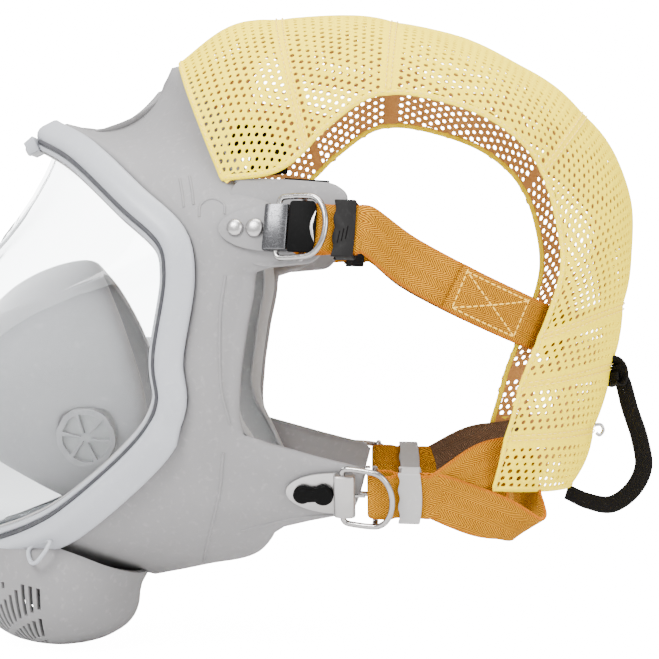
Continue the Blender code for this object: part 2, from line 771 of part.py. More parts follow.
def make_bar(name, buckle, place, look):
    """The bar that the webbing turns round, with its ends bent up to the ring's arms."""
    end = ring_half_height() - WIRE_RADIUS * 0.2
    low, top = bar_level(), ring_tilt() * place / RING_DEPTH - WIRE_RADIUS - CLEAR
    path = [buckle.p(place, -end, top), buckle.p(place, -end, (low + top) / 2)]
    path += [buckle.p(place, -end + 0.0004, low + 0.0001)]
    path += [buckle.p(place, v, low) for v in np.linspace(-end + 0.0016, end - 0.0016, 4)]
    path += [buckle.p(place, end - 0.0004, low + 0.0001), buckle.p(place, end, (low + top) / 2)]
    path += [buckle.p(place, end, top)]
    bar = wire(name, path, BAR_RADIUS, look, sides=6)
    hang_on(bar, buckle.o)


def webbing_turn(place):
    """Centre radius of the webbing's turn round the bar, and the heights of its two runs."""
    turn = BAR_RADIUS + CLEAR * 2 + WEBBING_WALL / 2
    return turn, bar_level() + turn, bar_level() - turn


def slide_place():
    return RING_DEPTH + WIRE_RADIUS + 0.0013


def runs_in_slide():
    """Heights of the two webbing runs where they lie together in the slide."""
    gap = WEBBING_WALL / 2 + CLEAR
    middle = bar_level()
    return middle + gap, middle - gap


def make_slide(name, buckle, look):
    """The flat sleeve that holds the two runs of webbing together."""
    outer_run, inner_run = runs_in_slide()
    high = outer_run + WEBBING_WALL / 2 + CLEAR
    low = inner_run - WEBBING_WALL / 2 - CLEAR
    wide = WEBBING_WIDTH / 2 + CLEAR
    start = slide_place()
    loops = []
    for k in range(4):
        v = (wide, wide, -wide, -wide)[k]
        n = (high, low, low, high)[k]
        v2 = math.copysign(wide + SLIDE_WALL * 1.2, v)
        n2 = n + math.copysign(SLIDE_WALL, n - (high + low) / 2)
        loops.append([buckle.p(start, v, n), buckle.p(start, v2, n2),
                      buckle.p(start + SLIDE_LENGTH, v2, n2), buckle.p(start + SLIDE_LENGTH, v, n)])
    slide = loft(name, loops, look, joined=True)
    hang_on(slide, buckle.p(start, 0, bar_level()))


def buckle_runs(buckle, place):
    """The webbing's two runs at the buckle, from the slide round the bar and back to the slide."""
    turn, top, bottom = webbing_turn(place)
    outer_run, inner_run = runs_in_slide()
    start, stop = slide_place() - 0.0015, slide_place() + SLIDE_LENGTH + 0.0010
    straight = (start, (start + stop) / 2, stop, stop + 0.0030)
    outer = [buckle.p(u, 0, outer_run) for u in straight[::-1]]
    outer += [buckle.p(place + 0.0060, 0, top), buckle.p(place, 0, top)]
    arc = [buckle.p(place - turn * math.sin(a), 0, bar_level() + turn * math.cos(a))
           for a in (math.pi * k / 8 for k in range(1, 8))]
    inner = [buckle.p(place, 0, bottom), buckle.p(place + 0.0060, 0, bottom)]
    inner += [buckle.p(u, 0, inner_run) for u in straight]
    return outer, arc, inner


def webbing(name, path, widths):
    ribbon(name, path, [w.normalized() * WEBBING_WIDTH / 2 for w in widths], WEBBING_WALL, tan_webbing())


def eased(points, directions, count):
    """A smooth run through points, with its width direction easing between the given ones."""
    faint = 1e-5  # so that turning adds nothing to the distance along the run
    mixed = [[*p, *(d.normalized() * faint)] for p, d in zip(points, directions)]
    flat = [list(f) for f in smooth(mixed, count)]
    return [Vector(f[:3]) for f in flat], [Vector(f[3:]).normalized() for f in flat]


def make_temple(mask, lug, side):
    sign = SIDES[side]
    place = 0.0100
    b = Buckle(mask, lug, sign, 0.0062)
    make_clip(f"temple_clip_{side}", b, 0.0250)
    top = -(WIRE_RADIUS + CLEAR) + CLEAR
    for name, u, r in (("front", -0.0175, FRONT_STUD_RADIUS), ("rear", -0.0092, REAR_STUD_RADIUS)):
        cylinder(f"temple_stud_{name}_{side}", b.p(u, 0, top), b.n,
                 ((r * 0.85, 0), (r, 0.0008), (r * 0.7, 0.0020)), steel(), 16)
    make_ring(f"temple_ring_{side}", b)
    make_bar(f"temple_bar_{side}", b, place, steel())
    make_pad(f"temple_pad_{side}", b, place)
    make_slide(f"temple_slide_{side}", b, slide_plastic())
    outer, arc, inner = buckle_runs(b, place)
    lead = [at(73.5, 3, 14), at(70, 23, 3), at(61, 44, -7), at(47, 60, -14), at(37, 69, -18)]
    lead = [mirrored(p, sign) for p in lead]
    down = mirrored(Vector((0.0, 0.38, 0.92)), sign)
    points = lead[::-1] + outer
    ups = [down] * 4 + [(down + b.v) / 2] + [b.v] * len(outer)
    main, wide = eased(points, ups, 38)
    tail = inner[:5]
    path = main + arc + tail
    webbing(f"temple_strap_{side}", path, wide + [b.v] * (len(arc) + len(tail)))
    make_patch(side, sign, main, wide)


def make_patch(side, sign, main, wide):
    """The strap's folded end, sewn flat on the outside of the strap."""
    start, stop = 8, 18
    off = WEBBING_WALL + CLEAR * 2
    path = []
    for i in range(start, stop):
        ahead = main[i + 1] - main[i - 1]
        out = ahead.cross(wide[i]).normalized()
        out = out if out.x * sign > 0 else -out
        path.append(main[i] + out * off)
    webbing(f"temple_patch_{side}", path, wide[start:stop])


def make_pad(name, buckle, place):
    """The black pad inside the ring, over the webbing's turn."""
    turn, top, _ = webbing_turn(place)
    low = top + WEBBING_WALL / 2 + CLEAR
    half = ring_half_height() - WIRE_RADIUS - 0.0008
    front, back = WIRE_RADIUS + CLIP_WALL + 0.0012, place + 0.0035
    loops = []
    for v in (-half, half):
        loops.append([buckle.p(front, v, low), buckle.p(back, v, low),
                      buckle.p(back, v, low + 0.0008), buckle.p(front, v, low + 0.0016)])
    pad = loft(name, loops, black_rubber())
    hang_on(pad, buckle.o)


def make_cheek(mask, lug, side):
    sign = SIDES[side]
    place = 0.0132
    b = Buckle(mask, lug, sign, 0.0060)
    make_clip(f"cheek_clip_{side}", b, 0.0235)
    make_keyhole_stud(f"cheek_stud_{side}", b)
    make_ring(f"cheek_ring_{side}", b)
    make_bar(f"cheek_bar_{side}", b, place, steel())
    make_tongue(f"cheek_tongue_{side}", b, place)
    make_slide(f"cheek_slide_{side}", b, frame_plastic())
    outer, arc, inner = buckle_runs(b, place)
    lead = [mirrored(p, sign) for p in (at(50, 36, -66), at(44, 47, -62), at(37.5, 57, -58))]
    up = mirrored(Vector((0.0, -0.32, 0.95)), sign)
    main, wide = eased(lead[::-1] + outer, [up, up, up] + [b.v] * len(outer), 24)
    back = [mirrored(p, sign) for p in (at(55.5, 30.5, -86.5), at(48.5, 45, -94), at(41.5, 54, -95.5),
                                        at(37, 53.3, -87), at(35, 52.3, -79), at(34.5, 51.8, -73))]
    turns = [Vector((0, 0.05, 1)), Vector((0, -0.25, 0.95)), Vector((0.2, -0.75, 0.6)), Vector((0.4, -0.9, 0.15)),
             Vector((0.45, -0.89, 0)), Vector((0.45, -0.89, 0))]
    turns = [mirrored(t, sign) for t in turns]
    rest, rest_wide = eased(inner + back, [b.v] * len(inner) + turns, 34)
    webbing(f"cheek_strap_{side}", main + arc + rest, wide + [b.v] * len(arc) + rest_wide)


def make_keyhole_stud(name, buckle):
    """A rubber stud with two round heads that run together, one smaller than the other."""
    low = -(WIRE_RADIUS + CLEAR) + CLEAR
    outline = []
    for k in range(9):
        a = math.radians(55 + 250 * k / 8)
        outline.append((-0.0165 + 0.0038 * math.cos(a), 0.0038 * math.sin(a)))
    for k in range(9):
        a = math.radians(-140 + 280 * k / 8)
        outline.append((-0.0080 + 0.0043 * math.cos(a), 0.0043 * math.sin(a)))
    loops = [[buckle.p(u, v, low + n) for u, v in outline] for n in (0, 0.0030)]
    loft(name, loops, black_rubber())


def make_tongue(name, buckle, place):
    """The pin down the middle of the open ring, from the hinge wire to the webbing bar."""
    start = WIRE_RADIUS + CLEAR * 2 + CLIP_WALL + 0.0006
    stop = place - BAR_RADIUS - WEBBING_WALL - CLEAR * 4
    path = [buckle.p(u, 0, -0.0002) for u in np.linspace(start, stop, 4)]
    pin = wire(name, path, 0.0007, steel(), sides=6)
    hang_on(pin, buckle.o)


# ---------------------------------------------------------------- head net and nape
NET_TOP = [
    at(0, -97, 102), at(0, -70, 118), at(0, -40, 121), at(0, -5, 119), at(0, 30, 109),
    at(0, 62, 93), at(0, 86, 72), at(0, 98, 45), at(0, 100, 15), at(0, 94, -16),
    at(0, 88, -44), at(0, 82, -66), at(0, 74, -83),
]
NET_EDGE = [
    at(62, -72.5, 46.5), at(66.5, -48, 50), at(70, -30, 66), at(72, -8, 80), at(71, 20, 76),
    at(67, 42, 66), at(61, 56, 52), at(56, 63, 32), at(55, 65, 12), at(55, 59, -10),
    at(55, 50, -32), at(54.5, 43, -56), at(54.5, 37, -80),
]
NET_FULL = math.radians(78)


def net_point(top, edge, t):
    """A point across the net, t from -1 to 1: an arc from one edge over the middle to the other."""
    a = NET_FULL * t
    across = math.sin(a) / math.sin(NET_FULL)
    drop = (1 - math.cos(a)) / (1 - math.cos(NET_FULL))
    return Vector((edge.x * across, top.y + (edge.y - top.y) * drop, top.z + (edge.z - top.z) * drop))


def make_net():
    rows, cols = 32, 13
    tops, edges = smooth(NET_TOP, rows), smooth(NET_EDGE, rows)
    grid = [[net_point(top, edge, -1 + 2 * j / (cols - 1)) for j in range(cols)]
            for top, edge in zip(tops, edges)]
    shell("head_net", grid, NET_WALL, yellow_mesh(), wrap=False, sharp_degrees=60)


def make_forehead_tabs():
    """Black rubber tabs that join the face blank's brow to the inside of the net."""
    for side, sign in SIDES.items():
        points = [mirrored(p, sign) for p in (at(51, -67, 57), at(54, -57, 56), at(58.5, -44, 53), at(61, -33, 50.5))]
        ups = [mirrored(Vector((-0.45, 0.1, 0.9)), sign)] * 4
        path, wide = eased(points, ups, 10)
        ribbon(f"forehead_tab_{side}", path, [w * 0.0105 for w in wide], 0.0016, black_rubber())


def make_nape_loop():
    """The black pull loop at the back of the net: a flat band bent into an open loop."""
    side = 12
    points = [at(side, 92.5, -30), at(side, 96, -37), at(side, 99, -48), at(side, 103.5, -62),
              at(side, 105, -74), at(side, 100, -84), at(side, 91, -90), at(side, 81, -88.5), at(side, 72, -84.5)]
    path, wide = eased(points, [Vector((1, 0, 0))] * len(points), 34)
    ribbon("nape_loop", path, [w * LOOP_WIDTH / 2 for w in wide], LOOP_WALL, black_webbing())


def make_wire_hook():
    """The small wire hook beside the pull loop."""
    points = [at(26, 84, -55), at(26, 87.5, -55), at(26, 89, -58.5), at(26, 86.5, -61), at(26, 84.5, -59.5)]
    wire("wire_hook", smooth(points, 14), 0.0007, steel(), sides=6)


def main():
    for old in list(bpy.data.objects):
        bpy.data.objects.remove(old)
    mask = Facepiece()
    lugs = make_lugs(mask)
    make_skirt(mask, lugs)
    make_seal(mask)
    make_lens_frame(mask)
    make_frame_clamp(mask)
    make_eyelets(mask)
    make_lens(mask)
    make_port(mask)
    make_inhale_valves(make_nose_cup())
    make_chin_cover()
    make_exhale_valve()
    make_diaphragm()
    for side in SIDES:
        make_temple(mask, lugs["temple", side], side)
        make_cheek(mask, lugs["cheek", side], side)
    make_net()
    make_forehead_tabs()
    make_nape_loop()
    make_wire_hook()


main()
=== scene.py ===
import json
import math

import bmesh
import bpy
import numpy as np
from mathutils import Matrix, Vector, noise


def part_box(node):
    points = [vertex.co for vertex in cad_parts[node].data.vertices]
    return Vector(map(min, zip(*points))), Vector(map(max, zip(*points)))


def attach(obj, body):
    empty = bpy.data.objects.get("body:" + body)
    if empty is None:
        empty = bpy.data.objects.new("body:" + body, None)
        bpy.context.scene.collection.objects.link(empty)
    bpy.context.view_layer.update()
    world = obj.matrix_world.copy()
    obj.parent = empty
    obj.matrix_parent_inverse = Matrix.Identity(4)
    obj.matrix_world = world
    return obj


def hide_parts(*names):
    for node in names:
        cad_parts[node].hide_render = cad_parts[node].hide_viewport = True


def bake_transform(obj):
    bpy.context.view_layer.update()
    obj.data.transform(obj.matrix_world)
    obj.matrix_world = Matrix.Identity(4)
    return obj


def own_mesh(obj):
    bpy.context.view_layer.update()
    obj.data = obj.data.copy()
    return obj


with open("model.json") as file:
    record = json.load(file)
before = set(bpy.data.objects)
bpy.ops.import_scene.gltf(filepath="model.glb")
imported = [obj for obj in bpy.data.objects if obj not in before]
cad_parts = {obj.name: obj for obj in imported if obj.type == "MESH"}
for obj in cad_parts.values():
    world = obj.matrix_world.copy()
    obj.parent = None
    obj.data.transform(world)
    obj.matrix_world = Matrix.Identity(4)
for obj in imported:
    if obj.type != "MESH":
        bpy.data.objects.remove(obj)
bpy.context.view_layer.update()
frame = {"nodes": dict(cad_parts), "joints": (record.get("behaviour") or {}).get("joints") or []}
nodes = frame["nodes"]
joints = {joint["name"]: joint for joint in frame["joints"]}
sides = {"left": 1.0, "right": -1.0}
print("frame loaded:", len(nodes), "nodes")


# lines and meshes
stepsBetween = 16  # samples from one given point of a smooth line to the next
weldDistance = 1e-6


def smoothLine(points, count, closed=False):
    # centripetal Catmull-Rom through the points, sampled at even distances
    pts = [np.array(p, float) for p in points]
    n = len(pts)
    fine = []
    for i in range(n if closed else n - 1):
        if closed:
            four = [pts[(i + k) % n] for k in (-1, 0, 1, 2)]
        else:
            before = pts[i - 1] if i else 2 * pts[i] - pts[i + 1]
            after = pts[i + 2] if i + 2 < n else 2 * pts[i + 1] - pts[i]
            four = [before, pts[i], pts[i + 1], after]
        gaps = [np.linalg.norm(q - p) ** 0.5 for p, q in zip(four, four[1:])]
        knots = np.concatenate([[0], np.cumsum(gaps)])

        def between(p, q, a, b, t):
            return p + (q - p) * (t - a) / (b - a)

        for t in np.linspace(knots[1], knots[2], stepsBetween, endpoint=False):
            a1, a2, a3 = (between(four[j], four[j + 1], knots[j], knots[j + 1], t) for j in range(3))
            b1 = between(a1, a2, knots[0], knots[2], t)
            b2 = between(a2, a3, knots[1], knots[3], t)
            fine.append(between(b1, b2, knots[1], knots[2], t))
    fine.append(pts[0] if closed else pts[-1])
    fine = np.array(fine)
    run = np.concatenate([[0], np.cumsum(np.linalg.norm(np.diff(fine, axis=0), axis=1))])
    places = np.linspace(0, run[-1], count + 1 if closed else count)
    out = np.stack([np.interp(places, run, fine[:, k]) for k in range(fine.shape[1])], axis=1)
    return out[:-1] if closed else out


def meshPiece(name, verts, faces, materials, sharp=None, faceMaterial=None, uv=None):
    mesh = bpy.data.meshes.new(name)
    mesh.from_pydata([tuple(v) for v in verts], [], faces)
    if uv is not None:
        layer = mesh.uv_layers.new(name="weave")
        corners = np.empty(len(mesh.loops), int)
        mesh.loops.foreach_get("vertex_index", corners)
        layer.data.foreach_set("uv", np.asarray(uv, float)[corners].ravel())
    for made in materials if isinstance(materials, (list, tuple)) else [materials]:
        mesh.materials.append(made)
    if faceMaterial is not None:
        mesh.polygons.foreach_set("material_index", faceMaterial)
    bm = bmesh.new()
    bm.from_mesh(mesh)
    bmesh.ops.recalc_face_normals(bm, faces=bm.faces)
    bm.to_mesh(mesh)
    bm.free()
    mesh.shade_smooth()
    if sharp:
        mesh.set_sharp_from_angle(angle=math.radians(sharp))
    made = bpy.data.objects.new(name, mesh)
    bpy.context.scene.collection.objects.link(made)
    return made


def skin(name, loops, materials, closed=False, sharp=None, uv=None):
    # joins equal loops of points, with capped ends unless it closes on itself
    size = len(loops[0])
    verts = [p for loop in loops for p in loop]
    faces = []
    for i in range(len(loops) if closed else len(loops) - 1):
        a, b = i * size, (i + 1) % len(loops) * size
        faces += [(a + k, a + (k + 1) % size, b + (k + 1) % size, b + k) for k in range(size)]
    if not closed:
        faces += [tuple(range(size)), tuple(range((len(loops) - 1) * size, len(loops) * size))]
    return meshPiece(name, verts, faces, materials, sharp, uv=uv)


def tube(name, path, radius, material, closed=False, sides=14):
    path = [Vector(p) for p in path]
    loops = []
    side = None
    for i, p in enumerate(path):
        if closed:
            ahead = path[(i + 1) % len(path)] - path[i - 1]
        else:
            ahead = path[min(i + 1, len(path) - 1)] - path[max(i - 1, 0)]
        ahead.normalize()
        side = ahead.orthogonal() if side is None else side - ahead * side.dot(ahead)
        side.normalize()
        up = ahead.cross(side)
        turns = (2 * math.pi * k / sides for k in range(sides))
        loops.append([p + (side * math.cos(a) + up * math.sin(a)) * radius for a in turns])
    return skin(name, loops, material, closed, sharp=60)


def keep(piece, body, slot, *replaced):
    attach(piece, body)
    if replaced:
        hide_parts(*replaced)
    return piece


def applyModifiers(piece):
    view = bpy.context.evaluated_depsgraph_get()
    made = bpy.data.meshes.new_from_object(piece.evaluated_get(view))
    piece.modifiers.clear()
    piece.data = made
    piece.data.shade_smooth()


def easeEdges(piece, width, segments, angle):
    eased = piece.modifiers.new("eased", "BEVEL")
    eased.width = width
    eased.segments = segments
    eased.limit_method = "ANGLE"
    eased.angle_limit = math.radians(angle)
    applyModifiers(piece)


def copyOfNode(node, name, material):
    # the node's own shape, with the triangles of each flat face joined
    bm = bmesh.new()
    bm.from_mesh(nodes[node].data)
    bmesh.ops.remove_doubles(bm, verts=bm.verts, dist=weldDistance)
    bmesh.ops.join_triangles(bm, faces=bm.faces, angle_face_threshold=math.radians(70),
                             angle_shape_threshold=math.radians(170))
    mesh = bpy.data.meshes.new(name)
    bm.to_mesh(mesh)
    bm.free()
    mesh.materials.clear()
    mesh.materials.append(material)
    piece = bpy.data.objects.new(name, mesh)
    bpy.context.scene.collection.objects.link(piece)
    return piece


def softened(node, name, material):
    # the node with its flat facets rounded off
    piece = copyOfNode(node, name, material)
    rounding = piece.modifiers.new("rounded", "SUBSURF")
    rounding.levels = rounding.render_levels = 2
    applyModifiers(piece)
    return piece


def bevelled(node, name, material, width):
    # the node with its hard edges eased
    piece = copyOfNode(node, name, material)
    easeEdges(piece, width, 3, 32)
    piece.data.set_sharp_from_angle(angle=math.radians(40))
    return piece


# shader building
def setSocket(tree, socket, value):
    if isinstance(value, bpy.types.NodeSocket):
        tree.links.new(value, socket)
    else:
        socket.default_value = value


def addNode(tree, kind, values=(), **settings):
    made = tree.nodes.new("ShaderNode" + kind)
    for key, value in settings.items():
        setattr(made, key, value)
    for socket, value in dict(values).items():
        setSocket(tree, made.inputs[socket], value)
    return made


def calc(tree, operation, *values):
    return addNode(tree, "Math", enumerate(values), operation=operation).outputs[0]


def blendColours(tree, amount, first, second):
    made = addNode(tree, "Mix", {0: amount}, data_type="RGBA")
    for place, value in ((6, first), (7, second)):
        plain = not isinstance(value, bpy.types.NodeSocket)
        setSocket(tree, made.inputs[place], (*value, 1.0) if plain else value)
    return made.outputs[2]


def newGroup(name, inputs, outputs):
    made = bpy.data.node_groups.new(name, "ShaderNodeTree")
    for label, kind, value in inputs:
        socket = made.interface.new_socket(label, in_out="INPUT", socket_type=kind)
        if value is not None:
            socket.default_value = value
    for label, kind in outputs:
        made.interface.new_socket(label, in_out="OUTPUT", socket_type=kind)
    return made, made.nodes.new("NodeGroupInput"), made.nodes.new("NodeGroupOutput")


def useGroup(tree, group, values):
    return addNode(tree, "Group", values, node_tree=group)


def herringboneWeave():
    # twill lines that turn back at each column: UV in metres, along and across the band
    tree, given, out = newGroup(
        "herringboneWeave",
        [("UV", "NodeSocketVector", None), ("Thread", "NodeSocketFloat", 0.001),
         ("Column", "NodeSocketFloat", 0.003), ("Slope", "NodeSocketFloat", 1.3)],
        [("Height", "NodeSocketFloat"), ("Shade", "NodeSocketFloat")])
    thread = given.outputs["Thread"]
    split = addNode(tree, "SeparateXYZ", {0: given.outputs["UV"]})
    fold = calc(tree, "PINGPONG", calc(tree, "ADD", split.outputs[1], 1.0), given.outputs["Column"])
    run = calc(tree, "ADD", split.outputs[0], calc(tree, "MULTIPLY", fold, given.outputs["Slope"]))
    wave = calc(tree, "SINE", calc(tree, "MULTIPLY", calc(tree, "DIVIDE", run, thread), 2 * math.pi))
    pick = calc(tree, "SINE", calc(tree, "MULTIPLY", calc(tree, "DIVIDE", split.outputs[1], thread), 12.0))
    height = calc(tree, "MULTIPLY_ADD", wave, 0.5, 0.5)
    height = calc(tree, "MULTIPLY_ADD", pick, 0.1, height)
    mottled = addNode(tree, "TexNoise", {"Vector": given.outputs["UV"], "Scale": 900.0, "Detail": 3.0})
    shade = calc(tree, "MULTIPLY", height, calc(tree, "MULTIPLY_ADD", mottled.outputs[0], 0.9, 0.55))
    tree.links.new(height, out.inputs["Height"])
    tree.links.new(shade, out.inputs["Shade"])
    return tree


def mouldedGrain():
    # the fine skin of moulded rubber and plastic, with slow clouding and settled dust
    tree, given, out = newGroup(
        "mouldedGrain",
        [("Position", "NodeSocketVector", None), ("Grain", "NodeSocketFloat", 2500.0),
         ("Clouds", "NodeSocketFloat", 28.0)],
        [("Height", "NodeSocketFloat"), ("Clouding", "NodeSocketFloat"), ("Dust", "NodeSocketFloat")])
    place, grain, clouds = (given.outputs[name] for name in ("Position", "Grain", "Clouds"))
    fine = addNode(tree, "TexNoise", {"Vector": place, "Scale": grain, "Detail": 2.0})
    slow = addNode(tree, "TexNoise", {"Vector": place, "Scale": clouds, "Detail": 5.0, "Roughness": 0.6})
    specks = addNode(tree, "TexNoise", {"Vector": place, "Scale": 420.0, "Detail": 4.0})
    dust = addNode(tree, "MapRange", {0: specks.outputs[0], 1: 0.56, 2: 0.75, 3: 0.0, 4: 1.0})
    tree.links.new(fine.outputs[0], out.inputs["Height"])
    tree.links.new(slow.outputs[0], out.inputs["Clouding"])
    tree.links.new(dust.outputs[0], out.inputs["Dust"])
    return tree


def handlingMarks():
    # fine scratches in two directions and soft smudges, for metal and the lens
    tree, given, out = newGroup(
        "handlingMarks",
        [("Position", "NodeSocketVector", None), ("Scratch", "NodeSocketFloat", 300.0),
         ("Smudge", "NodeSocketFloat", 40.0)],
        [("Scratches", "NodeSocketFloat"), ("Smudges", "NodeSocketFloat")])
    place, scratch, smudge = (given.outputs[name] for name in ("Position", "Scratch", "Smudge"))
    lines = []
    for stretch in ((1.0, 14.0, 3.0), (11.0, 1.0, 5.0)):
        turned = {"Vector": place, "Scale": stretch, "Rotation": (0.3, 0.2, stretch[0])}
        drawn = addNode(tree, "Mapping", turned).outputs[0]
        found = addNode(tree, "TexNoise", {"Vector": drawn, "Scale": scratch, "Detail": 3.0})
        sharp = addNode(tree, "MapRange", {0: found.outputs[0], 1: 0.60, 2: 0.68, 3: 0.0, 4: 1.0})
        lines.append(sharp.outputs[0])
    soft = addNode(tree, "TexNoise", {"Vector": place, "Scale": smudge, "Detail": 4.0})
    tree.links.new(calc(tree, "MAXIMUM", *lines), out.inputs["Scratches"])
    tree.links.new(soft.outputs[0], out.inputs["Smudges"])
    return tree


weaveGroup, grainGroup, marksGroup = herringboneWeave(), mouldedGrain(), handlingMarks()


def newMaterial(name, roughness=0.5, metallic=0.0):
    made = bpy.data.materials.new(name)
    made.use_nodes = True
    shader = made.node_tree.nodes["Principled BSDF"]
    shader.inputs["Roughness"].default_value = roughness
    shader.inputs["Metallic"].default_value = metallic
    return made, made.node_tree, shader


def bumpInto(tree, shader, height, distance, strength=1.0):
    bump = addNode(tree, "Bump", {"Height": height, "Distance": distance, "Strength": strength})
    tree.links.new(bump.outputs[0], shader.inputs["Normal"])


def moulded(name, colour, cloudy, dusty, roughness, grain=2500.0, depth=0.00004, clouds=28.0, spread=0.5):
    # rubber or plastic: colour, clouded colour, dust colour, then how far the dust spreads
    made, tree, shader = newMaterial(name, roughness)
    place = addNode(tree, "TexCoord").outputs["Object"]
    marks = useGroup(tree, grainGroup, {"Position": place, "Grain": grain, "Clouds": clouds})
    base = blendColours(tree, marks.outputs["Clouding"], colour, cloudy)
    base = blendColours(tree, calc(tree, "MULTIPLY", marks.outputs["Dust"], spread), base, dusty)
    tree.links.new(base, shader.inputs["Base Color"])
    rough = calc(tree, "MULTIPLY_ADD", marks.outputs["Clouding"], 0.22, roughness - 0.11)
    tree.links.new(rough, shader.inputs["Roughness"])
    shader.inputs["Specular IOR Level"].default_value = min(0.25, 0.06 + colour[0])
    bumpInto(tree, shader, marks.outputs["Height"], depth, 0.5)
    return made


def metal(name, colour, tarnish, roughness, scratch=300.0):
    made, tree, shader = newMaterial(name, roughness, 1.0)
    place = addNode(tree, "TexCoord").outputs["Object"]
    marks = useGroup(tree, marksGroup, {"Position": place, "Scratch": scratch})
    base = blendColours(tree, marks.outputs["Smudges"], colour, tarnish)
    tree.links.new(base, shader.inputs["Base Color"])
    rough = calc(tree, "MULTIPLY_ADD", marks.outputs["Scratches"], 0.22, roughness)
    rough = calc(tree, "MULTIPLY_ADD", marks.outputs["Smudges"], 0.10, rough)
    tree.links.new(rough, shader.inputs["Roughness"])
    bumpInto(tree, shader, marks.outputs["Scratches"], 0.00001, 0.6)
    return made


def webbingMaterial(name, thread, hollowShade, edge, halfWidth, column=0.0034, pitch=0.0013):
    made, tree, shader = newMaterial(name, 0.82)
    uv = addNode(tree, "UVMap", uv_map="weave").outputs[0]
    weave = useGroup(tree, weaveGroup, {"UV": uv, "Thread": pitch, "Column": column})
    # the twill's recesses take a far darker colour, painted shade
    base = blendColours(tree, weave.outputs["Shade"], hollowShade, thread)
    # the band darkens towards both edges: painted shade
    across = calc(tree, "ABSOLUTE", addNode(tree, "SeparateXYZ", {0: uv}).outputs[1])
    rim = addNode(tree, "MapRange", {0: across, 1: halfWidth * 0.86, 2: halfWidth * 0.97, 3: 0.0, 4: 0.85})
    base = blendColours(tree, rim.outputs[0], base, edge)
    place = addNode(tree, "TexCoord").outputs["Object"]
    worn = addNode(tree, "TexNoise", {"Vector": place, "Scale": 55.0, "Detail": 6.0})
    wear = calc(tree, "MULTIPLY_ADD", worn.outputs[0], 0.5, -0.12)
    base = blendColours(tree, wear, base, [c * 0.72 for c in hollowShade])
    tree.links.new(base, shader.inputs["Base Color"])
    shader.inputs["Specular IOR Level"].default_value = 0.10
    bumpInto(tree, shader, weave.outputs["Height"], 0.0006, 1.0)
    return made


def netMaterial(name, thread, shadow):
    made, tree, shader = newMaterial(name, 0.85)
    place = addNode(tree, "TexCoord").outputs["Object"]
    knit = addNode(tree, "TexNoise", {"Vector": place, "Scale": 1600.0, "Detail": 3.0, "Roughness": 0.7})
    foldShade = addNode(tree, "TexNoise", {"Vector": place, "Scale": 42.0, "Detail": 4.0})
    # knit noise mixes the thread colour with painted shade between the threads; slow patches add more painted
    # shade in the creases
    base = blendColours(tree, calc(tree, "MULTIPLY_ADD", knit.outputs[0], 1.5, -0.35), shadow, thread)
    base = blendColours(tree, calc(tree, "MULTIPLY", foldShade.outputs[0], 0.25), base, shadow)
    tree.links.new(base, shader.inputs["Base Color"])
    shader.inputs["Specular IOR Level"].default_value = 0.08
    bumpInto(tree, shader, knit.outputs[0], 0.0002, 0.7)
    return made


def lensMaterial():
    made, tree, shader = newMaterial("clearLens", 0.03)
    shader.inputs["Base Color"].default_value = (0.95, 0.97, 0.98, 1.0)
    shader.inputs["Transmission Weight"].default_value = 1.0
    shader.inputs["IOR"].default_value = 1.04
    shader.inputs["Coat Weight"].default_value = 0.6
    shader.inputs["Coat Roughness"].default_value = 0.03
    place = addNode(tree, "TexCoord").outputs["Object"]
    marks = useGroup(tree, marksGroup, {"Position": place, "Scratch": 180.0, "Smudge": 22.0})
    rough = calc(tree, "MULTIPLY_ADD", marks.outputs["Smudges"], 0.05, 0.01)
    rough = calc(tree, "MULTIPLY_ADD", marks.outputs["Scratches"], 0.03, rough)
    tree.links.new(rough, shader.inputs["Roughness"])
    return made


paleRubber = moulded("paleRubber", (0.205, 0.200, 0.202), (0.170, 0.166, 0.168), (0.26, 0.25, 0.25), 0.55,
                     grain=1800.0, depth=0.00006)
cupRubber = moulded("cupRubber", (0.24, 0.235, 0.24), (0.19, 0.185, 0.19), (0.30, 0.30, 0.30), 0.5)
sealRubber = moulded("sealRubber", (0.30, 0.30, 0.30), (0.25, 0.25, 0.25), (0.38, 0.38, 0.38), 0.5)
framePlastic = moulded("framePlastic", (0.36, 0.37, 0.395), (0.32, 0.33, 0.355), (0.42, 0.43, 0.45), 0.30,
                       grain=3200.0, depth=0.00003, clouds=18.0, spread=0.3)
palePlastic = moulded("palePlastic", (0.34, 0.33, 0.33), (0.29, 0.285, 0.28), (0.42, 0.41, 0.40), 0.35,
                      grain=3200.0, depth=0.00003)
slidePlastic = moulded("slidePlastic", (0.0075, 0.0072, 0.0072), (0.011, 0.0105, 0.0105), (0.02, 0.02, 0.02),
                       0.48, grain=3000.0, depth=0.00003)
gasketRubber = moulded("gasketRubber", (0.055, 0.055, 0.06), (0.04, 0.04, 0.045), (0.10, 0.10, 0.10), 0.45)
padRubber = moulded("padRubber", (0.0008, 0.0008, 0.0008), (0.0015, 0.0015, 0.0015), (0.004, 0.004, 0.004),
                    0.62)
steel = metal("steel", (0.42, 0.41, 0.41), (0.24, 0.23, 0.22), 0.13)
rollSteel = metal("rollSteel", (0.115, 0.115, 0.12), (0.075, 0.075, 0.08), 0.22)
satinSteel = metal("satinSteel", (0.44, 0.43, 0.43), (0.32, 0.31, 0.30), 0.26, scratch=420.0)
tanWebbing = webbingMaterial("tanWebbing", (0.80, 0.35, 0.004), (0.17, 0.045, 0.001), (0.50, 0.13, 0.001),
                             0.010)
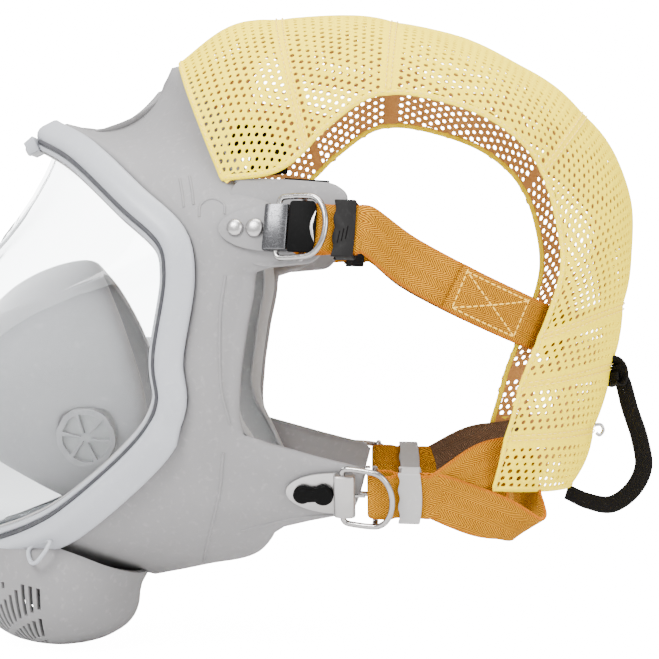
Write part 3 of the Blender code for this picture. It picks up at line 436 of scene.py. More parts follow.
# a darker copy of the tan webbing for the straps' inward faces: painted shade
strapShadedInside = webbingMaterial("strapShadedInside", (0.20, 0.115, 0.060), (0.09, 0.045, 0.025), (0.13, 0.07, 0.03),
                              0.010)
blackWebbing = webbingMaterial("blackWebbing", (0.011, 0.009, 0.009), (0.002, 0.002, 0.002),
                               (0.007, 0.006, 0.006), 0.00425, column=0.0021, pitch=0.0012)
netYellow = netMaterial("netYellow", (0.93, 0.84, 0.002), (0.88, 0.60, 0.001))
# a darker tan copy of the net for its inner faces: painted shade
netShadedInside = netMaterial("netShadedInside", (0.62, 0.32, 0.10), (0.40, 0.17, 0.045))
stitchThread = netMaterial("stitchThread", (1.0, 0.80, 0.22), (0.85, 0.58, 0.10))
patchThread = netMaterial("patchThread", (0.98, 0.66, 0.12), (0.80, 0.45, 0.04))
lensClear = lensMaterial()
print("materials made")


# head net: an open knitted mesh with real holes, a hem and crosswise seams
net = {
    "pitch": 0.0037,  # from hole to hole
    "hole": 0.00090,  # radius of a hole
    "wall": 0.0009,
    "hem": 0.0026,
    "hemWall": 0.0016,
    "seam": 0.0026,  # half the width of the closed band at a seam
    "puff": 0.0016,  # how far the cloth stands out between seams
    "top": [(0, -97, 102), (0, -70, 118), (0, -40, 121), (0, -5, 119), (0, 30, 109), (0, 62, 93), (0, 86, 72),
            (0, 98, 45), (0, 100, 15), (0, 94, -16), (0, 88, -44), (0, 82, -66), (0, 74, -83)],
    "edge": [(62, -72.5, 46.5), (66.5, -48, 50), (70, -30, 66), (72, -8, 80), (71, 20, 76), (67, 42, 66),
             (61, 56, 52), (56, 63, 32), (55, 65, 12), (55, 59, -10), (55, 50, -32), (54.5, 43, -56),
             (54.5, 37, -80)],
    "seamsNear": [(-52, 120), (-3, 119), (80, 78), (98, -4), (92, -30), (85, -57)],  # y and z on the top line
    "full": 78,  # degrees of arc from the middle to the edge
    "stations": 260,
    "ripple": 0.0011,
    "sink": 0.0006,  # how far the whole cloth lies inside its lines
    "holeSides": 12,
    "holeSpread": 0.12,
    "holeRange": (0.75, 1.25),
    "hemStitch": (0.0016, 0.0006, 0.0026),  # length, thickness and gap
    "seamStitch": (0.0018, 0.0005, 0.0027),
}


class NetSurface:
    # places on the net by distance along it and distance across it from the middle
    def __init__(self):
        self.count = net["stations"]
        self.top = smoothLine(np.array(net["top"]) / 1000, self.count)
        self.edge = smoothLine(np.array(net["edge"]) / 1000, self.count)
        self.full = math.radians(net["full"])
        middle = self.raw(np.linspace(0, 1, self.count), np.full(self.count, 0.72))
        self.run = np.concatenate([[0], np.cumsum(np.linalg.norm(np.diff(middle, axis=0), axis=1))])
        self.length = self.run[-1]
        away = [np.linalg.norm(self.top[:, 1:] * 1000 - np.array(p), axis=1) for p in net["seamsNear"]]
        self.seams = [self.run[np.argmin(distances)] for distances in away]

    def raw(self, share, t):
        where = share * (self.count - 1)
        top = np.stack([np.interp(where, np.arange(self.count), self.top[:, k]) for k in range(3)], axis=1)
        edge = np.stack([np.interp(where, np.arange(self.count), self.edge[:, k]) for k in range(3)], axis=1)
        turn = self.full * t
        across = np.sin(turn) / math.sin(self.full)
        drop = (1 - np.cos(turn)) / (1 - math.cos(self.full))
        return np.stack([edge[:, 0] * across, top[:, 1] + (edge[:, 1] - top[:, 1]) * drop,
                         top[:, 2] + (edge[:, 2] - top[:, 2]) * drop], axis=1)

    def shareAt(self, s):
        return np.interp(s, self.run, np.linspace(0, 1, self.count))

    def halfWidth(self, s):
        t = np.linspace(0, 1, 61)
        line = self.raw(np.full(61, self.shareAt(s)), t)
        return t, np.concatenate([[0], np.cumsum(np.linalg.norm(np.diff(line, axis=0), axis=1))])

    def smoothPlaces(self, s, w):
        # points for arrays of s and w, grouped by s so that each line's widths are worked out once
        out = np.zeros((len(s), 3))
        keys, index = np.unique(np.round(s, 7), return_inverse=True)
        index = index.reshape(-1)
        order = np.argsort(index, kind="stable")
        cuts = np.searchsorted(index[order], np.arange(len(keys) + 1))
        for k, value in enumerate(keys):
            chosen = order[cuts[k]:cuts[k + 1]]
            t, reach = self.halfWidth(value)
            found = np.interp(np.abs(w[chosen]), reach, t) * np.sign(w[chosen])
            over = np.maximum(np.abs(w[chosen]) - reach[-1], 0) / max(reach[-1], 1e-6)
            found = found + over * np.sign(w[chosen])
            out[chosen] = self.raw(np.full(len(chosen), self.shareAt(value)), found)
        return out

    def frames(self, s, w):
        # point, outward normal and the two directions in the cloth, puffed out between seams
        step = 0.0006
        s = np.clip(s, step, self.length - step)
        p = self.smoothPlaces(s, w)
        ahead = self.smoothPlaces(s + step, w) - self.smoothPlaces(s - step, w)
        aside = self.smoothPlaces(s, w + step) - self.smoothPlaces(s, w - step)
        ahead /= np.linalg.norm(ahead, axis=1)[:, None]
        aside /= np.linalg.norm(aside, axis=1)[:, None]
        n = np.cross(aside, ahead)
        n /= np.linalg.norm(n, axis=1)[:, None]
        n *= np.where((n * p).sum(1) < 0, -1, 1)[:, None]
        marks = np.array([0.0] + sorted(self.seams) + [self.length])
        k = np.clip(np.searchsorted(marks, s) - 1, 0, len(marks) - 2)
        share = (s - marks[k]) / (marks[k + 1] - marks[k])
        puff = net["puff"] * np.sin(math.pi * share) ** 0.6
        ripple = np.array([noise.noise(Vector(q) * 38) for q in p]) * net["ripple"]
        p = p + n * (puff + ripple - net["sink"])[:, None]
        return p, n, ahead, aside


def makeNet():
    surface = NetSurface()
    pitch, lift = net["pitch"], net["pitch"] * 0.866
    rows = int(surface.length / lift)
    lift = surface.length / rows
    cells = []
    for i in range(rows + 1):
        s = i * lift
        reach = surface.halfWidth(min(max(s, 0), surface.length))[1][-1]
        limit = int(reach / pitch) + 1
        for j in range(-limit, limit + 1):
            w = (j + 0.5 * (i % 2)) * pitch
            if abs(w) < reach - 0.35 * pitch and 0.3 * lift < s < surface.length - 0.3 * lift:
                closed = any(abs(s - mark) < net["seam"] for mark in surface.seams)
                cells.append((i, 2 * j + i % 2, closed))
    # hexagon corners in whole steps: thirds of a row along, half pitches across
    ring = [(2, 0), (1, 1), (-1, 1), (-2, 0), (-1, -1), (1, -1)]
    corner = {}
    for i, j, _ in cells:
        for a, b in ring:
            corner.setdefault((3 * i + a, j + b), len(corner))
    keys = np.array(list(corner))
    s, w = keys[:, 0] * lift / 3, keys[:, 1] * pitch / 2
    cornerP, cornerN, _, _ = surface.frames(s, w)
    centres = np.array([(i, j) for i, j, _ in cells], float)
    midP, midN, ahead, aside = surface.frames(centres[:, 0] * lift, centres[:, 1] * pitch / 2)
    half = net["wall"] / 2
    verts = [*(cornerP + cornerN * half), *(cornerP - cornerN * half)]
    faces, layer = [], []
    under = len(keys)
    holeSides = net["holeSides"]
    angles = np.array([math.pi / 2 - 2 * math.pi * k / holeSides for k in range(holeSides)])
    rng = np.random.default_rng(7)
    for n, (i, j, closed) in enumerate(cells):
        around = [corner[3 * i + a, j + b] for a, b in ring]
        if closed:
            faces.append(tuple(around))
            faces.append(tuple(v + under for v in reversed(around)))
            layer += [0, 1]
            continue
        radius = net["hole"] * (1 + net["holeSpread"] * rng.standard_normal())
        radius = min(max(radius, net["hole"] * net["holeRange"][0]), net["hole"] * net["holeRange"][1])
        first = len(verts)
        directions = np.sin(angles)[:, None] * ahead[n] + np.cos(angles)[:, None] * aside[n]
        verts += list(midP[n] + midN[n] * half * 0.5 + directions * radius)
        verts += list(midP[n] - midN[n] * half * 0.5 + directions * radius)
        for k in range(6):
            a, b = around[k], around[(k + 1) % 6]
            p, q, r = first + 2 * k, first + (2 * k + 1) % holeSides, first + (2 * k + 2) % holeSides
            faces += [(a, p, q), (a, q, b), (b, q, r)]
            faces += [(a + under, q + holeSides, p + holeSides), (a + under, b + under, q + holeSides),
                      (b + under, r + holeSides, q + holeSides)]
            faces += [(p, p + holeSides, q + holeSides, q), (q, q + holeSides, r + holeSides, r)]
            layer += [0, 0, 0, 1, 1, 1, 0, 0]
    print("net cells:", len(cells), "faces:", len(faces))
    return surface, verts, faces, layer


def bandOn(name, points, normals, halfWidth, wall, material, wave=0.0, closed=False):
    # a ribbon lying on a surface along points, with rounded edges
    count = len(points)
    loops, uv = [], []
    run = 0.0
    for i in range(count):
        if closed:
            ahead = points[(i + 1) % count] - points[i - 1]
        else:
            ahead = points[min(i + 1, count - 1)] - points[max(i - 1, 0)]
        if i:
            run += np.linalg.norm(points[i] - points[i - 1])
        ahead = ahead / np.linalg.norm(ahead)
        across = np.cross(normals[i], ahead)
        across /= np.linalg.norm(across)
        up = np.cross(ahead, across)
        rise = wave * math.sin(run * 900) if wave else 0.0
        section = bandSection(halfWidth, wall)
        loops.append([points[i] + across * v + up * (n + rise) for v, n in section])
        uv += [(run, v) for v, _ in section]
    return skin(name, loops, material, closed, uv=uv)


def bandSection(halfWidth, wall):
    half = wall / 2
    top = [(v, half) for v in np.linspace(-halfWidth + half, halfWidth - half, 7)]
    tip = [(halfWidth - half * 0.3, half * 0.7), (halfWidth, 0.0), (halfWidth - half * 0.3, -half * 0.7)]
    return top + tip + [(-v, -n) for v, n in top] + [(-v, -n) for v, n in tip]


def stitchesAlong(name, points, normals, length, thickness, gap, material):
    # short raised stitches at even gaps along a line
    verts, faces = [], []
    run = np.concatenate([[0], np.cumsum(np.linalg.norm(np.diff(points, axis=0), axis=1))])
    for place in np.arange(gap / 2, run[-1], gap):
        p = np.array([np.interp(place, run, points[:, k]) for k in range(3)])
        ahead = np.array([np.interp(place + 1e-4, run, points[:, k]) for k in range(3)]) - p
        if np.linalg.norm(ahead) < 1e-9:
            continue
        ahead /= np.linalg.norm(ahead)
        n = np.array([np.interp(place, run, normals[:, k]) for k in range(3)])
        side = np.cross(n, ahead)
        side /= np.linalg.norm(side)
        n = np.cross(ahead, side)
        first = len(verts)
        for u, r in ((-0.5, 0.45), (-0.3, 0.95), (0.3, 0.95), (0.5, 0.45)):
            for a in range(6):
                t = a * math.pi / 3
                spoke = side * math.cos(t) + n * math.sin(t)
                verts.append(p + ahead * u * length + spoke * thickness / 2 * r)
        for i in range(3):
            a, b = first + i * 6, first + i * 6 + 6
            faces += [(a + k, a + (k + 1) % 6, b + (k + 1) % 6, b + k) for k in range(6)]
        faces += [tuple(range(first, first + 6)), tuple(range(first + 18, first + 24))]
    return meshPiece(name, verts, faces, material)


surface, netVerts, netFaces, netLayer = makeNet()
# outer faces take the yellow, inner faces the darker painted-shade copy
netPiece = meshPiece("netMesh", netVerts, netFaces, [netYellow, netShadedInside], faceMaterial=netLayer, sharp=50)
keep(netPiece, "facepiece", "yellow_mesh", "head_net")


def netLine(s, w, lift=0.0):
    p, n, _, _ = surface.frames(np.asarray(s, float), np.asarray(w, float))
    return p + n * lift, n


def netEdgeLine(inset, count=560):
    # once round the net at this distance inside its edge
    length = surface.length
    along = np.linspace(inset, length - inset, count // 2 - 60)
    reach = np.array([surface.halfWidth(s)[1][-1] for s in along]) - inset
    s = np.concatenate([along, np.full(60, length - inset), along[::-1], np.full(60, inset)])
    w = np.concatenate([reach, np.linspace(reach[-1], -reach[-1], 62)[1:-1], -reach[::-1],
                        np.linspace(-reach[0], reach[0], 62)[1:-1]])
    return netLine(s, w)


def makeHem():
    p, n = netEdgeLine(net["hem"] / 2)
    p, n = smoothLine(p, 620, closed=True), smoothLine(n, 620, closed=True)
    hem = bandOn("netHem", p, n, net["hem"] / 2, net["hemWall"], netYellow, closed=True)
    sewn = stitchesAlong("hemStitches", p + n * net["hemWall"] / 2, n, *net["hemStitch"], stitchThread)
    return [hem, sewn]


def makeSeams():
    made = []
    for number, s in enumerate(surface.seams):
        reach = surface.halfWidth(s)[1][-1] - 0.002
        w = np.linspace(-reach, reach, 150)
        p, n = netLine(np.full(150, s), w, net["wall"] / 2 + 0.0001)
        band = bandOn(f"netSeam{number}", p, n, net["seam"] * 0.72, 0.0005, netYellow, wave=0.00010)
        made.append(band)
        for side in (-1, 1):
            q, m = netLine(np.full(150, s + side * net["seam"] * 0.42), w, net["wall"] / 2 + 0.0005)
            label = f"seamStitches{number}{'ab'[side > 0]}"
            made.append(stitchesAlong(label, q, m, *net["seamStitch"], stitchThread))
    return made


netParts = makeHem() + makeSeams()
for part in netParts:
    keep(part, "facepiece", "yellow_mesh")
print("net made")


# buckles
buckleSizes = {
    "wire": 0.0012,
    "half": 0.0125,  # half the ring's width along the hinge wire
    "tilt": 0.0048,  # how far the ring rises over its depth
    "depth": 0.0205,
    "corner": 0.0024,
    "barLevel": -0.0018,
    "barPlace": {"temple": 0.0100, "cheek": 0.0132},
    "slideStart": 0.0230,
    "slideLength": 0.0085,
    "slideWall": 0.0011,
    "slideRise": (0.0018, 0.02725),  # the slide's middle, below and behind the hinge
    "strapHalf": 0.0100,
    "strapWall": 0.0015,
    "clear": 0.0003,
    "clipLength": {"temple": 0.0250, "cheek": 0.0235},
    "clipWall": 0.0010,
    "rollEnds": {"temple": (-0.0057, 0.0048), "cheek": (-0.0036, 0.0052)},
    "turn": 0.00255,  # from the bar's middle to the webbing round it
    "engravedLines": (0.0018, 0.0034, 0.0050),
}
studSizes = {
    "foot": -0.0012,
    "temple": (("front", -0.0178, 0.0034), ("rear", -0.0096, 0.0038)),
    "profile": ((0.9, 0.0), (1.0, 0.0004), (0.97, 0.0009), (0.75, 0.0016), (0.4, 0.0019), (0.12, 0.0020)),
    "keyhole": ((-0.0165, 0.0038, 55, 250), (-0.0080, 0.0043, -140, 280)),  # place, radius, start and sweep
    "keyholeHeight": 0.0028,
}
padSizes = {
    "front": 0.0050,
    "pastBar": 0.0062,
    "wall": 0.0011,
    "crescentHalf": 0.0066,
    "crescentDepths": (0.0009, 0.0021),
}


class Buckle:
    # u runs back along the strap, v along the hinge wire, n away from the head
    def __init__(self, kind, side):
        self.kind, self.side = kind, side
        self.sign = sides[side]
        self.body = f"{kind}_{side}"
        joint = joints[f"{kind}_{side}_ring_hinge"]
        self.o = Vector(joint["pos_m"])
        self.v = (Vector(joint["axis"]) * -self.sign).normalized()
        low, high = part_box(f"{kind}_slide_{side}")
        middle = (Vector(low) + Vector(high)) / 2 - self.o
        middle = (middle - self.v * middle.dot(self.v)).normalized()
        lifted = middle.cross(self.v).normalized() * self.sign
        slope = math.atan2(*buckleSizes["slideRise"])
        self.u = middle * math.cos(slope) + lifted * math.sin(slope)
        self.n = lifted * math.cos(slope) - middle * math.sin(slope)

    def p(self, u, v, n):
        return self.o + self.u * u + self.v * v + self.n * n

    def piece(self, label):
        return f"{self.kind}{label}_{self.side}"

    def node(self, label):
        return f"{self.kind}_{label}_{self.side}"


def extruded(name, buckle, outline, low, high, material, ease=0.0004, sharp=38):
    # a flat outline in the buckle's u and v, from one height to another, with eased edges
    middle = np.mean(outline, axis=0)

    def ring(height, inset):
        out = []
        for i, q in enumerate(outline):
            before, after = outline[i - 1], outline[(i + 1) % len(outline)]
            ahead = np.subtract(after, before)
            ahead = ahead / (np.linalg.norm(ahead) + 1e-12)
            inward = np.array([-ahead[1], ahead[0]])
            if np.dot(inward, middle - np.array(q)) < 0:
                inward = -inward
            u, v = np.array(q) + inward * inset
            out.append(buckle.p(u, v, height))
        return out

    loops = [ring(low, ease), ring(low + ease, 0.0), ring(high - ease, 0.0),
             ring(high - ease * 0.3, ease * 0.3), ring(high, ease)]
    return skin(name, loops, material, sharp=sharp)


def rounded(corners, radius, steps=5):
    # a closed outline with its corners rounded
    out = []
    count = len(corners)
    for i, corner in enumerate(corners):
        before, after = np.array(corners[i - 1]), np.array(corners[(i + 1) % count])
        c = np.array(corner)
        a, b = before - c, after - c
        cut = min(radius, np.linalg.norm(a) * 0.45, np.linalg.norm(b) * 0.45)
        start, stop = c + a / np.linalg.norm(a) * cut, c + b / np.linalg.norm(b) * cut
        for t in np.linspace(0, 1, steps):
            out.append(tuple((1 - t) ** 2 * start + 2 * t * (1 - t) * c + t * t * stop))
    return out


def makeClip(buckle):
    # the half-oval end plate, rolled round the hinge wire
    length, wall = buckleSizes["clipLength"][buckle.kind], buckleSizes["clipWall"]
    r = buckleSizes["wire"] + buckleSizes["clear"] + wall / 2
    half = buckleSizes["strapHalf"] - 0.0005
    outline = []
    for k in range(25):
        t = math.pi * k / 24 - math.pi / 2
        outline.append((-length * math.cos(t) ** 0.9 if 0 < k < 24 else 0.0, half * math.sin(t)))
    plate = extruded(buckle.piece("ClipPlate"), buckle, outline, -r - wall / 2, -r + wall / 2,
                     frameMetal[buckle.kind], 0.0003)
    front, back = buckleSizes["rollEnds"][buckle.kind]
    middle, reach, high = (front + back) / 2, (back - front) / 2, r + wall / 2
    loops = []
    for v, inset in ((-half, 0.0006), (-half + 0.0003, 0.0001), (-half + 0.0006, 0.0), (half - 0.0006, 0.0),
                     (half - 0.0003, 0.0001), (half, 0.0006)):
        loop = []
        for k in range(40):
            a = 2 * math.pi * k / 40
            c, s = math.cos(a), math.sin(a)
            flat = math.copysign(abs(c) ** 0.75, c), math.copysign(abs(s) ** 0.62, s)
            loop.append(buckle.p(middle + (reach - inset) * flat[0], v, (high - inset) * flat[1]))
        loops.append(loop)
    roll = skin(buckle.piece("ClipRoll"), loops, rollMetal[buckle.kind], sharp=50)
    keep(plate, "facepiece", "bright_steel", buckle.node("clip"))
    keep(roll, "facepiece", "bright_steel", buckle.node("clip"))


def makeRing(buckle):
    size = buckleSizes
    h, depth, lift, corner = size["half"], size["depth"], size["tilt"], size["corner"]
    turns = [math.radians(30), math.radians(60)]
    bend = [(corner * (1 - math.cos(t)), h - corner + corner * math.sin(t)) for t in turns]
    outline = [(0, -h + corner), (0, -h / 2), (0, 0), (0, h / 2), (0, h - corner), *bend, (corner, h)]
    bow = depth - corner
    for k in range(1, 12):
        t = math.pi / 2 - math.pi * k / 12
        outline.append((corner + bow * 0.45 + bow * 0.55 * math.cos(t) ** 0.8, h * math.sin(t)))
    outline += [(corner, -h)] + [(u, -v) for u, v in reversed(bend)]
    path = smoothLine([buckle.p(u, v, lift * u / depth) for u, v in outline], 150, closed=True)
    ring = tube(buckle.piece("Ring"), path, size["wire"], steel, closed=True, sides=16)
    keep(ring, buckle.body, "bright_steel", buckle.node("ring"))


def makeBar(buckle):
    # a wire bar whose ends turn up to the ring
    size = buckleSizes
    place = size["barPlace"][buckle.kind]
    end = size["half"] - size["wire"] * 0.2
    low, top = size["barLevel"], size["tilt"] * place / size["depth"] - size["wire"] - size["clear"]
    rising = [(end - 0.0004, low + 0.0001), (end, (low + top) / 2), (end, top + 0.0006)]
    line = [(-v, n) for v, n in reversed(rising)]
    line += [(v, low) for v in np.linspace(-end + 0.0016, end - 0.0016, 4)] + rising
    path = smoothLine([buckle.p(place, v, n) for v, n in line], 60)
    bar = tube(buckle.piece("Bar"), path, size["wire"], steel)
    keep(bar, buckle.body, "bright_steel", buckle.node("bar"))


def makeSlide(buckle, material, slotName):
    # a flat sleeve with a waved front edge and round corners; the temple slides also get three short
    # near-black strips for grooved lines, their darkness painted shade
    size = buckleSizes
    start, stop = size["slideStart"], size["slideStart"] + size["slideLength"]
    gap = size["strapWall"] / 2 + size["clear"]
    room = gap + size["strapWall"] / 2 + size["clear"]
    high, low = size["barLevel"] + room, size["barLevel"] - room
    wall = size["slideWall"]
    wide = size["strapHalf"] + 0.0003
    half = wide + wall * 1.2
    front = []
    for k in range(21):
        v = -half + 2 * half * k / 20
        front.append((start + 0.0004 * math.cos(v / half * math.pi * 3), v))
    bulge = 0.0009 if buckle.kind == "cheek" else 0.0002
    back = [(stop + bulge * math.cos(v / half * math.pi / 2), v) for v in np.linspace(half, -half, 13)]
    outline = rounded(front + back, 0.0008, 3)
    pieces = []
    for label, a, b in (("Top", high, high + wall), ("Under", low - wall, low)):
        pieces.append(extruded(buckle.piece("Slide" + label), buckle, outline, a, b, material, 0.0003))
    for label, v in (("Upper", 1), ("Lower", -1)):
        near, far = start + 0.0009, stop - 0.0003
        box = [(near, v * wide), (far, v * wide), (far, v * half), (near, v * half)]
        pieces.append(extruded(buckle.piece("Slide" + label), buckle, rounded(box, 0.0004, 3),
                               low - wall * 0.6, high + wall * 0.6, material, 0.0001))
    # three near-black strips on the temple slide standing for grooves: painted shade
    for k, u in enumerate(size["engravedLines"] if buckle.kind == "temple" else ()):
        foot, head = -0.0062 + 0.0008 * k, -0.0012 + 0.0010 * k
        u += start
        groove = rounded([(u, foot), (u + 0.0004, foot), (u + 0.0011, head), (u + 0.0007, head)], 0.0001, 2)
        line = extruded(buckle.piece(f"SlideLine{k}"), buckle, groove, high + wall - 0.0002,
                        high + wall + 0.00008, grooveShade, 0.00003)
        keep(line, buckle.body, "black_rubber")
    for piece in pieces:
        keep(piece, buckle.body, slotName, buckle.node("slide"))


def makePad(buckle):
    # a black pad over the webbing's turn, with a bright crescent at its back edge
    size = buckleSizes
    low = size["barLevel"] + size["turn"] + size["strapWall"] / 2 + size["clear"]
    half = size["half"] - size["wire"] - 0.0008
    front, back = padSizes["front"], size["barPlace"][buckle.kind] + padSizes["pastBar"]
    side = [(back - 0.001, -half), (back, -half * 0.6)]
    corners = [(front, -half), *side, *((u, -v) for u, v in reversed(side)), (front, half)]
    outline = rounded(corners, 0.0014)
    pad = extruded(buckle.piece("Pad"), buckle, outline, low, low + padSizes["wall"], padRubber)
    keep(pad, buckle.body, "black_rubber", buckle.node("pad"))
    reach = padSizes["crescentHalf"]
    shallow, deep = padSizes["crescentDepths"]
    spots = [(shallow, v) for v in np.linspace(-reach, reach, 15)]
    spots += [(deep, v) for v in np.linspace(reach, -reach, 15)[1:-1]]
    outline = [(back - 0.0002 - depth * math.cos(v / reach * math.pi / 2), v) for depth, v in spots]
    crescent = extruded(buckle.piece("Crescent"), buckle, outline, low + 0.0009, low + 0.00145, satinSteel,
                        0.0001)
    keep(crescent, buckle.body, "bright_steel")


def makeTongue(buckle):
    # the centre pin, from the clip to just short of the webbing round the bar
    size = buckleSizes
    stop = size["barPlace"][buckle.kind] - size["wire"] * 2 - size["strapWall"]
    path = [buckle.p(u, 0, -0.0002) for u in np.linspace(0.0050, stop, 8)]
    pin = tube(buckle.piece("Tongue"), path, 0.0007, steel)
    keep(pin, buckle.body, "bright_steel", buckle.node("tongue"))


def makeStuds(buckle):
    foot = studSizes["foot"]
    if buckle.kind == "temple":
        angles = np.linspace(0, 2 * math.pi, 32, endpoint=False)
        for label, u, radius in studSizes["temple"]:
            loops = []
            for share, height in studSizes["profile"]:
                r = radius * share
                loops.append([buckle.p(u + r * math.cos(a), r * math.sin(a), foot + height) for a in angles])
            stud = skin(buckle.piece("Stud_" + label), loops, satinSteel, sharp=60)
            keep(stud, "facepiece", "bright_steel", buckle.node("stud_" + label))
        return
    outline = []
    for place, radius, start, sweep in studSizes["keyhole"]:
        for k in range(19):
            a = math.radians(start + sweep * k / 18)
            outline.append((place + radius * math.cos(a), radius * math.sin(a)))
    high = foot + studSizes["keyholeHeight"]
    stud = extruded(buckle.piece("Stud"), buckle, outline, foot, high, padRubber, 0.0007)
    keep(stud, "facepiece", "black_rubber", buckle.node("stud"))


def webbingRuns(buckle):
    # the webbing's line at the buckle, from the slide round the bar and back
    size = buckleSizes
    place, turn, middle = size["barPlace"][buckle.kind], size["turn"], size["barLevel"]
    gap = size["strapWall"] / 2 + size["clear"]
    start, stop = size["slideStart"] - 0.0015, size["slideStart"] + size["slideLength"] + 0.0010
    straight = (start, (start + stop) / 2, stop, stop + 0.0030)
    outer = [buckle.p(u, 0, middle + gap) for u in straight[::-1]]
    outer += [buckle.p(place + 0.0060, 0, middle + turn), buckle.p(place, 0, middle + turn)]
    angles = [math.pi * k / 16 for k in range(1, 16)]
    arc = [buckle.p(place - turn * math.sin(a), 0, middle + turn * math.cos(a)) for a in angles]
    inner = [buckle.p(place, 0, middle - turn), buckle.p(place + 0.0060, 0, middle - turn)]
    inner += [buckle.p(u, 0, middle - gap) for u in straight]
    return outer, arc, inner


def easedRun(points, directions, count):
    faint = 1e-5  # so that turning adds nothing to the distance along the run
    mixed = [[*p, *(Vector(d).normalized() * faint)] for p, d in zip(points, directions)]
    flat = smoothLine(mixed, count)
    wide = flat[:, 3:] / np.linalg.norm(flat[:, 3:], axis=1)[:, None]
    return flat[:, :3], wide


def webbingPiece(name, path, wide, material, wall=None, half=None):
    path, wide = np.array(path), np.array(wide)
    normals = []
    for i in range(len(path)):
        ahead = path[min(i + 1, len(path) - 1)] - path[max(i - 1, 0)]
        ahead /= np.linalg.norm(ahead)
        n = np.cross(ahead, wide[i])
        normals.append(n / np.linalg.norm(n))
    half, wall = half or buckleSizes["strapHalf"], wall or buckleSizes["strapWall"]
    return bandOn(name, path, np.array(normals), half, wall, material)


def flipped(point, sign):
    return Vector((point[0] * sign, point[1], point[2]))


def mm(*points):
    return [tuple(c / 1000 for c in p) for p in points]


def layStrap(buckle, main, wide, arc, rest, restWide, shadedStations):
    # one band from the net to the buckle, round the bar and back; on its run to the buckle the faces turned
    # towards the head get a darker copy of the webbing, which is painted shade
    path = np.concatenate([main, np.array([list(p) for p in arc]), rest])
    across = np.concatenate([wide, np.tile(np.array(buckle.v), (len(arc), 1)), restWide])
    strap = webbingPiece(buckle.piece("Strap"), path, across, tanWebbing)
    strap.data.materials.append(strapShadedInside)
    size = len(bandSection(buckleSizes["strapHalf"], buckleSizes["strapWall"]))
    # inward faces on the first stations take the darker copy, painted shade
    for polygon in strap.data.polygons[: shadedStations * size]:
        if polygon.normal.x * buckle.sign < -0.2:
            polygon.material_index = 1
    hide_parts(buckle.node("strap"))
    buckle.p(0.046, 0, 0)
    buckle.p(0.0240, 0, 0)
    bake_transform(strap)
    return strap


templeRun = {
    "lead": mm((73.5, 3, 14), (70, 23, 3), (61, 44, -7), (47, 60, -14), (37, 69, -18)),  # back into the net
    "across": (0.0, 0.38, 0.92),
    "stations": 149,
    # stations whose inward faces get the painted-shade copy
    "shadedCount": 110,
    "patch": (32, 72),  # the stations that the folded end covers
    "patchLift": 0.0018,
    "box": (0.08, 0.92, 0.78),  # the sewn box: start and stop along the patch, half across
    "stitch": (0.0021, 0.0007, 0.0028),
}


def makeTempleStrap(buckle):
    sign = buckle.sign
    outer, arc, inner = webbingRuns(buckle)
    lead = [flipped(p, sign) for p in templeRun["lead"]]
    down = flipped(templeRun["across"], sign)
    ups = [down] * 4 + [(down + buckle.v) / 2] + [buckle.v] * len(outer)
    main, wide = easedRun(lead[::-1] + outer, ups, templeRun["stations"])
    tail = smoothLine(inner[:5], 24)
    tailWide = np.tile(np.array(buckle.v), (len(tail), 1))
    strap = layStrap(buckle, main, wide, arc, tail, tailWide, templeRun["shadedCount"])
    buckle.piece("SlideTop")
    sewPatch(buckle, main, wide)


def sewPatch(buckle, main, wide):
    # the folded end, sewn flat on the outside with a crossed box of thread
    start, stop = templeRun["patch"]
    spare, spareWide = main[start:stop], wide[start:stop]
    out = np.cross(np.gradient(spare, axis=0), spareWide)
    out /= np.linalg.norm(out, axis=1)[:, None]
    out *= np.where(out[:, 0] * buckle.sign < 0, -1, 1)[:, None]
    lift = templeRun["patchLift"]
    patch = webbingPiece(buckle.piece("Patch"), spare + out * lift, spareWide, tanWebbing)
    keep(patch, "facepiece", "tan_webbing", buckle.node("patch"))
    buckle.piece("Strap")
    count = len(spare)

    def onPatch(u, v):
        # u from 0 to 1 along the patch and v from -1 to 1 across it
        p, w, n = (np.array([np.interp(u * (count - 1), np.arange(count), values[:, k]) for k in range(3)])
                   for values in (spare, spareWide, out))
        return p + w * v * buckleSizes["strapHalf"] + n * (lift + buckleSizes["strapWall"] / 2), n

    low, high, across = templeRun["box"]
    lowLeft, lowRight, highLeft, highRight = ((u, v) for u in (low, high) for v in (-across, across))
    lines = [(lowLeft, highRight), (highLeft, lowRight), (lowLeft, lowRight), (highLeft, highRight),
             (lowRight, highRight), (lowLeft, highLeft)]
    for k, (a, b) in enumerate(lines):
        spots = [onPatch(a[0] + (b[0] - a[0]) * t, a[1] + (b[1] - a[1]) * t) for t in np.linspace(0, 1, 26)]
        points, normals = (np.array([spot[i] for spot in spots]) for i in (0, 1))
        label = f"patchStitches{k}_{buckle.side}"
        sewn = stitchesAlong(label, points, normals, *templeRun["stitch"], patchThread)
        keep(sewn, "facepiece", "yellow_mesh")


cheekRun = {
    "lead": mm((50, 36, -70), (44, 47, -68), (37.5, 57, -66)),  # back into the net
    "across": (0.0, -0.32, 0.95),
    "stations": 93,
    # stations whose inward faces get the painted-shade copy
    "shadedCount": 88,
    "return": mm((55.5, 30.5, -88.0), (50, 43, -92.5), (46, 53, -96), (38.5, 53.8, -90), (34, 53.2, -81),
                 (31, 52.5, -73)),
    "returnAcross": ((0.1, 0.05, 1), (0.45, 0.22, 0.86), (0.68, 0.56, 0.47), (0.85, 0.52, 0.1),
                     (0.88, 0.46, 0), (0.88, 0.46, 0)),
    "returnStations": 133,
}


